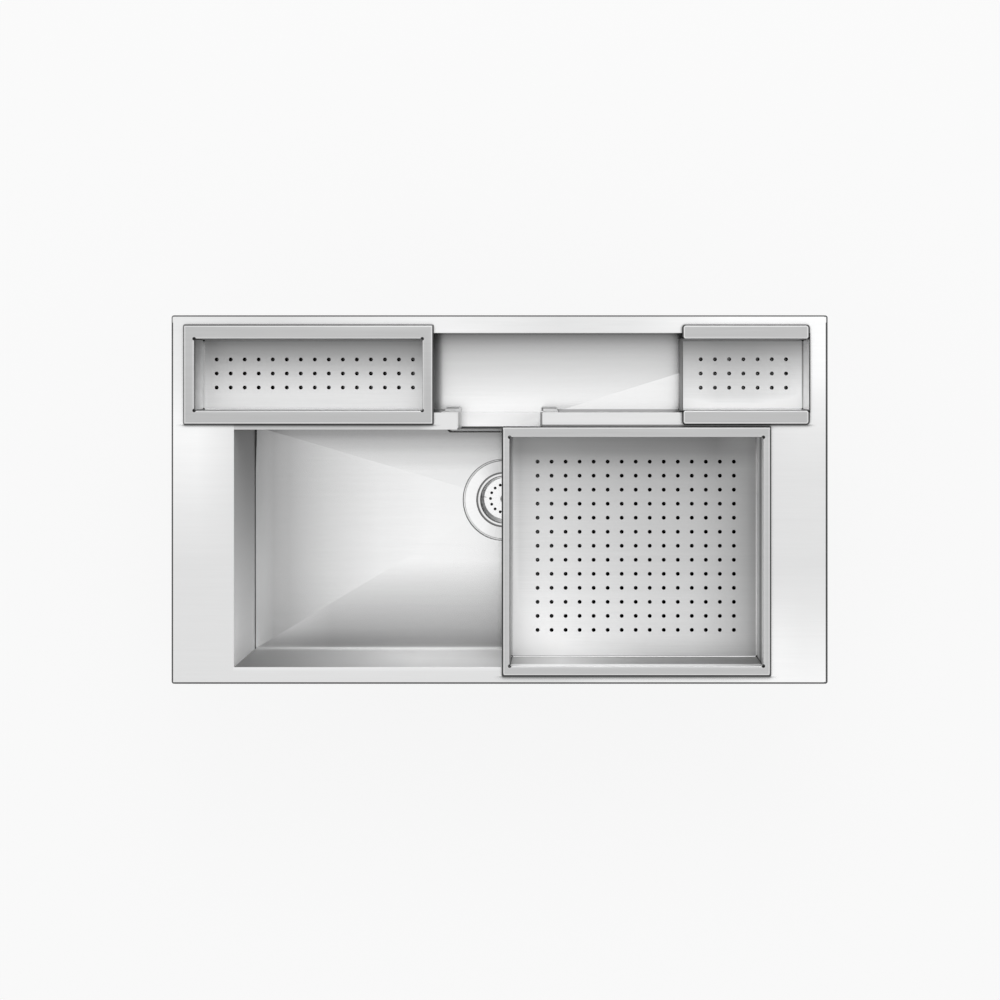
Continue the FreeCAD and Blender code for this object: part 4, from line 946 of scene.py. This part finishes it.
def perforation_tree():
    """Geometry Nodes: a sheet with round holes on a grid, given by its sizes."""
    tree = bpy.data.node_groups.new("perforated_sheet", "GeometryNodeTree")
    sizes = {"Geometry": ["Geometry"], "Material": ["Finish"], "Vector": ["Grid place", "Place"],
             "Int": ["Hole sides", "Columns", "Rows"],
             "Float": ["Length", "Width", "Thickness", "Hole radius", "Grid length", "Grid width"]}
    for kind, names in sizes.items():
        for name in names:
            tree.interface.new_socket(name, in_out="INPUT", socket_type="NodeSocket" + kind)
    tree.interface.new_socket("Geometry", in_out="OUTPUT", socket_type="NodeSocketGeometry")
    given = tree.nodes.new("NodeGroupInput").outputs

    def step(kind, *sources, **inputs):
        """A node's outputs, its first input linked to the sources and the others by name."""
        node = tree.nodes.new("GeometryNode" + kind)
        for source in sources:
            tree.links.new(source, node.inputs[0])
        for name, value in inputs.items():
            socket = node.inputs[name.replace("_", " ")]
            if isinstance(value, bpy.types.NodeSocket):
                tree.links.new(value, socket)
            else:
                socket.default_value = value
        return node.outputs

    edge = step("CurvePrimitiveQuadrilateral", Width=given["Length"], Height=given["Width"])
    ring = step("CurvePrimitiveCircle", Resolution=given["Hole sides"],
                Radius=given["Hole radius"])
    grid = step("MeshGrid", Size_X=given["Grid length"], Size_Y=given["Grid width"],
                Vertices_X=given["Columns"], Vertices_Y=given["Rows"])
    spots = step("Transform", grid["Mesh"], Translation=given["Grid place"])
    rings = step("InstanceOnPoints", spots["Geometry"], Instance=ring["Curve"])
    outlines = step("JoinGeometry", edge["Curve"], rings["Instances"])
    face = step("FillCurve", step("RealizeInstances", outlines["Geometry"])["Geometry"])
    top = step("ExtrudeMesh", face["Mesh"], Offset_Scale=given["Thickness"], Individual=False)
    under = step("FlipFaces", face["Mesh"])
    closed = step("JoinGeometry", top["Mesh"], under["Mesh"])
    weld = step("MergeByDistance", closed["Geometry"], Distance=WELD)
    placed = step("Transform", weld["Geometry"], Translation=given["Place"])
    whole = step("RealizeInstances", placed["Geometry"])
    coat = step("SetMaterial", whole["Geometry"], Material=given["Finish"])
    tree.links.new(coat["Geometry"], tree.nodes.new("NodeGroupOutput").inputs[0])
    return tree


def make_base(name, tree, material):
    """The tray's perforated sheet, inside the foot of its frame."""
    low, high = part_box(name + "_base")
    columns, rows, pitch, first, back = TRAY_HOLES[name]
    middle = (low + high) / 2
    grid_x = low.x + first + (columns - 1) * pitch / 2 - middle.x
    end_run = 0 if name == "short_tray" else FOOT_RUN
    values = {
        "Length": high.x - low.x - 2 * end_run, "Width": high.y - low.y - 2 * FOOT_RUN,
        "Thickness": high.z - low.z, "Hole radius": HOLE_RADIUS, "Hole sides": HOLE_SIDES,
        "Columns": columns, "Rows": rows, "Grid length": (columns - 1) * pitch,
        "Grid width": (rows - 1) * pitch, "Grid place": (grid_x, back, 0),
        "Place": (middle.x, middle.y, low.z), "Finish": material}
    item = object_from(name + "_perforated_base", bmesh.new())
    sheet = item.modifiers.new("perforation", "NODES")
    sheet.node_group = tree
    for socket in tree.interface.items_tree:
        if socket.in_out == "INPUT" and socket.name in values:
            sheet[socket.identifier] = values[socket.name]
    baked(item)
    fit(item, name + "_base", material)
    eased(item, HOLE_EDGE, segments=1, angle=50)
    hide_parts(name + "_base")


def make_frame(name, material):
    """The tray's folded frame; the large and long trays' frames get relief holes at their inner
    corners.
    """
    low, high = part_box(name + "_frame")
    inner_low, inner_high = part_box(name + "_base")
    side, end = (fold_section(width, high.z, high.z - RIM_HEIGHT, inner_high.z, inner_low.z)
                 for width in (inner_low.y - low.y, inner_low.x - low.x))
    if name == "short_tray":
        parts = [extruded_side("front", side, low.x, high.x, low.y, 1),
                 extruded_side("back", side, low.x, high.x, high.y, -1)]
        for part in parts:
            carve(part, block("slab", low - Vector((0, 0, MM)), high + Vector((0, 0, MM)),
                              PLAN_CORNER[name]), "INTERSECT")
        for near, far in ((low.x, inner_low.x), (inner_high.x, high.x)):
            parts.append(block("end", (near, inner_low.y, low.z), (far, inner_high.y, high.z)))
        item = joined(name + "_folded_frame", parts)
    else:
        item = swept_frame(name + "_folded_frame", low, high, end, side, PLAN_CORNER[name])
        corners = [(x, y) for x in (inner_low.x, inner_high.x) for y in (inner_low.y, inner_high.y)]
        for radius, start, stop in (
                (RELIEF_RADIUS, high.z - RELIEF_DEPTH, high.z + MM),
                (FOOT_RELIEF_RADIUS, low.z - MM, inner_high.z + FOOT_RELIEF_DEPTH)):
            carve(item, pins("drills", [(x, y, radius, start, stop) for x, y in corners]))
    fit(item, name + "_frame", material)
    item.data.shade_smooth()
    item.data.set_sharp_from_angle(angle=SMOOTH_ANGLE)
    if name == "short_tray":
        item.modifiers.new("even normals", "WEIGHTED_NORMAL").keep_sharp = True
    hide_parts(name + "_frame")


# Fixings and waste


def make_studs(material):
    """Welded studs: a disc under the deck and a threaded shank."""
    low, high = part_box("fixing_studs")
    foot = high.z - STUD_FOOT_HEIGHT
    stations = [(high.z, STUD_FOOT_RADIUS), (foot, STUD_FOOT_RADIUS), (foot, STUD_RADIUS)]
    shape = bmesh.new()
    for joint in frame["record"]["behaviour"]["joints"]:
        if joint["name"].startswith("claw"):
            add_thread(shape, joint["pos_m"], stations, low.z)
    item = object_from("fixing_studs_threaded", shape)
    fit(item, "fixing_studs", material)
    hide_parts("fixing_studs")


def add_thread(shape, centre, stations, low):
    """A closed turned bar: plain (height, radius) stations from the top, then a fine thread."""
    start = stations[-1][0]
    count = round((start - low) / THREAD_PITCH * THREAD_ROWS)
    rings = [[station] * THREAD_SIDES for station in stations]
    for row in range(1, count + 1):
        height = start + (low - start) * row / count
        turns = [((start - height) / THREAD_PITCH + side / THREAD_SIDES) % 1
                 for side in range(THREAD_SIDES)]
        rings.append([(height, STUD_RADIUS - THREAD_DEPTH * abs(2 * turn - 1))
                      for turn in turns])
    placed = [[shape.verts.new((*round_spot(centre, radius, 2 * math.pi * side / THREAD_SIDES),
                                height)) for side, (height, radius) in enumerate(ring)]
              for ring in rings]
    bridge(shape, placed)
    shape.faces.new(placed[0])
    shape.faces.new(placed[-1][::-1])


def make_union_nut(material):
    """The union nut, with grip ribs all round."""
    low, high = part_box("outlet_union_nut")
    middle = (low + high) / 2
    outer = (high.x - low.x) / 2
    bore = outer - UNION_WALL
    lip = bore - UNION_LIP
    corners = [(bore, high.z, 0), (bore, low.z + UNION_FLOOR, 0), (lip, low.z + UNION_FLOOR, 0),
               (lip, low.z, 0), (outer - UNION_CHAMFER, low.z, 0),
               (outer, low.z + UNION_CHAMFER, RIB_DEPTH),
               (outer, high.z - UNION_CHAMFER, RIB_DEPTH), (outer - UNION_CHAMFER, high.z, 0)]
    item = turned_piece("outlet_union_nut_ribbed", corners, middle)
    fit(item, "outlet_union_nut", material)
    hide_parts("outlet_union_nut")


# Room, light and camera


def make_floor():
    """A plain pale floor below the sink. What the camera, metal and glass see of it keeps the
    pale tone of the backdrop, with a faint shadow."""
    shape = bmesh.new()
    bmesh.ops.create_grid(shape, x_segments=1, y_segments=1, size=FLOOR_HALF_SIZE)
    bmesh.ops.translate(shape, verts=shape.verts, vec=(0, 0, cad_box[0].z))
    item = object_from("studio_floor", shape)
    finish = Finish("pale_floor")
    finish.set(Base_Color=FLOOR_TONE, Roughness=0.9)
    glow = finish.add("ShaderNodeEmission", {"Color": BACKDROP_TONE})
    seen = finish.add("ShaderNodeLightPath").outputs
    share = finish.times(finish.work("MAXIMUM", seen["Is Camera Ray"], seen["Is Glossy Ray"],
                                     seen["Is Transmission Ray"]), BACKDROP_SHARE)
    mix = finish.add("ShaderNodeMixShader", (share, finish.surface.outputs[0], glow.outputs[0]))
    finish.wire(mix.outputs[0], finish.tree.nodes["Material Output"].inputs["Surface"])
    item.data.materials.append(finish.material)


def make_world():
    world = bpy.data.worlds.new("studio")
    world.use_nodes = True
    bpy.context.scene.world = world
    sky = world.node_tree.nodes["Background"]
    sky.inputs["Color"].default_value = SKY_TONE
    sky.inputs["Strength"].default_value = 1.0


def make_lamp(name, place, aim, size, power):
    lamp = bpy.data.lights.new(name, "AREA")
    lamp.shape = "DISK"
    lamp.size = size
    lamp.energy = power
    item = linked(name, lamp)
    item.location = place
    item.rotation_euler = (Vector(aim) - Vector(place)).to_track_quat("-Z", "Y").to_euler()


def make_camera():
    camera = bpy.data.cameras.new("camera")
    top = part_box("deck_plate")[1].z
    camera.sensor_width = SENSOR_WIDTH
    camera.lens = SENSOR_WIDTH * CAMERA_HEIGHT / FRAME_WIDTH
    camera.shift_x = (FRAME_MIDDLE_X - CAMERA_X) / FRAME_WIDTH
    camera.shift_y = (FRAME_MIDDLE_Y - CAMERA_Y) / FRAME_WIDTH
    camera.clip_end = 50
    item = linked("camera", camera)
    item.location = (CAMERA_X, CAMERA_Y, top + CAMERA_HEIGHT)
    bpy.context.scene.camera = item


bpy.context.scene.view_settings.view_transform = "Standard"
make_camera()
make_world()
make_floor()
make_lamp("key", (0.15, 2.0, 2.1), (0, 0, 0), 1.6, 26)

make_deck(deck_finish())
plain(bowl_wall_finish(), "bowl_left_wall", "bowl_right_wall", "bowl_front_wall",
      "bowl_back_wall")
finished(bowl_floor_finish(), 0.5 * MM, "bowl_floor", smooth=False)
plain(channel_finish(), "channel_walls", "channel_floor")
finished(spillway_finish(), 0.4 * MM, "spillway_liner", angle=40, smooth=False)
finished(overflow_finish(), 0.2 * MM, "overflow_cover")

zinc_steel = skin_finish("zinc_plated_steel", (1.0, 0.985, 0.94), (0.32, 0.5), 220, (0.5, 0.68),
                         5.0, 0.08, 0.9)
black_rubber = skin_finish("black_rubber", (0.035, 0.035, 0.035), (0.6, 0.75), 700)
white_plastic = skin_finish("white_plastic", (0.8, 0.8, 0.78), (0.38, 0.5), 500)
dark_plastic = skin_finish("dark_plastic", (0.14, 0.14, 0.15), (0.4, 0.55), 500)

finished(strainer_finish("strainer_polished_steel", 33 * MM), 0.3 * MM, "strainer_cup", angle=25)
finished(strainer_finish("basket_polished_steel", 0), 0.3 * MM, "basket_cup", "basket_knob",
         angle=25)
plain(black_rubber, "worktop_seal", "overflow_gasket", "strainer_top_seal",
      "strainer_under_seal", "outlet_washer")
finished(black_rubber, 0.4 * MM, "basket_stopper")
finished(white_plastic, 0.4 * MM, "overflow_housing", "overflow_pipe", "outlet_body")
finished(dark_plastic, 0.5 * MM, "strainer_ring_nut")
make_union_nut(dark_plastic)
finished(felt_finish(), 0.8 * MM, "sound_pad_left", "sound_pad_right", "sound_pad_front",
         segments=3)
finished(zinc_steel, 0.3 * MM, "overflow_screws", "fixing_nuts")
make_studs(zinc_steel)
finished(zinc_steel, 0.4 * MM, *(f"claw_{number}" for number in range(1, 9)))

perforation = perforation_tree()
for tray in TRAY_HOLES:
    make_frame(tray, tray_frame_finish(tray))
    make_base(tray, perforation, tray_base_finish(tray))
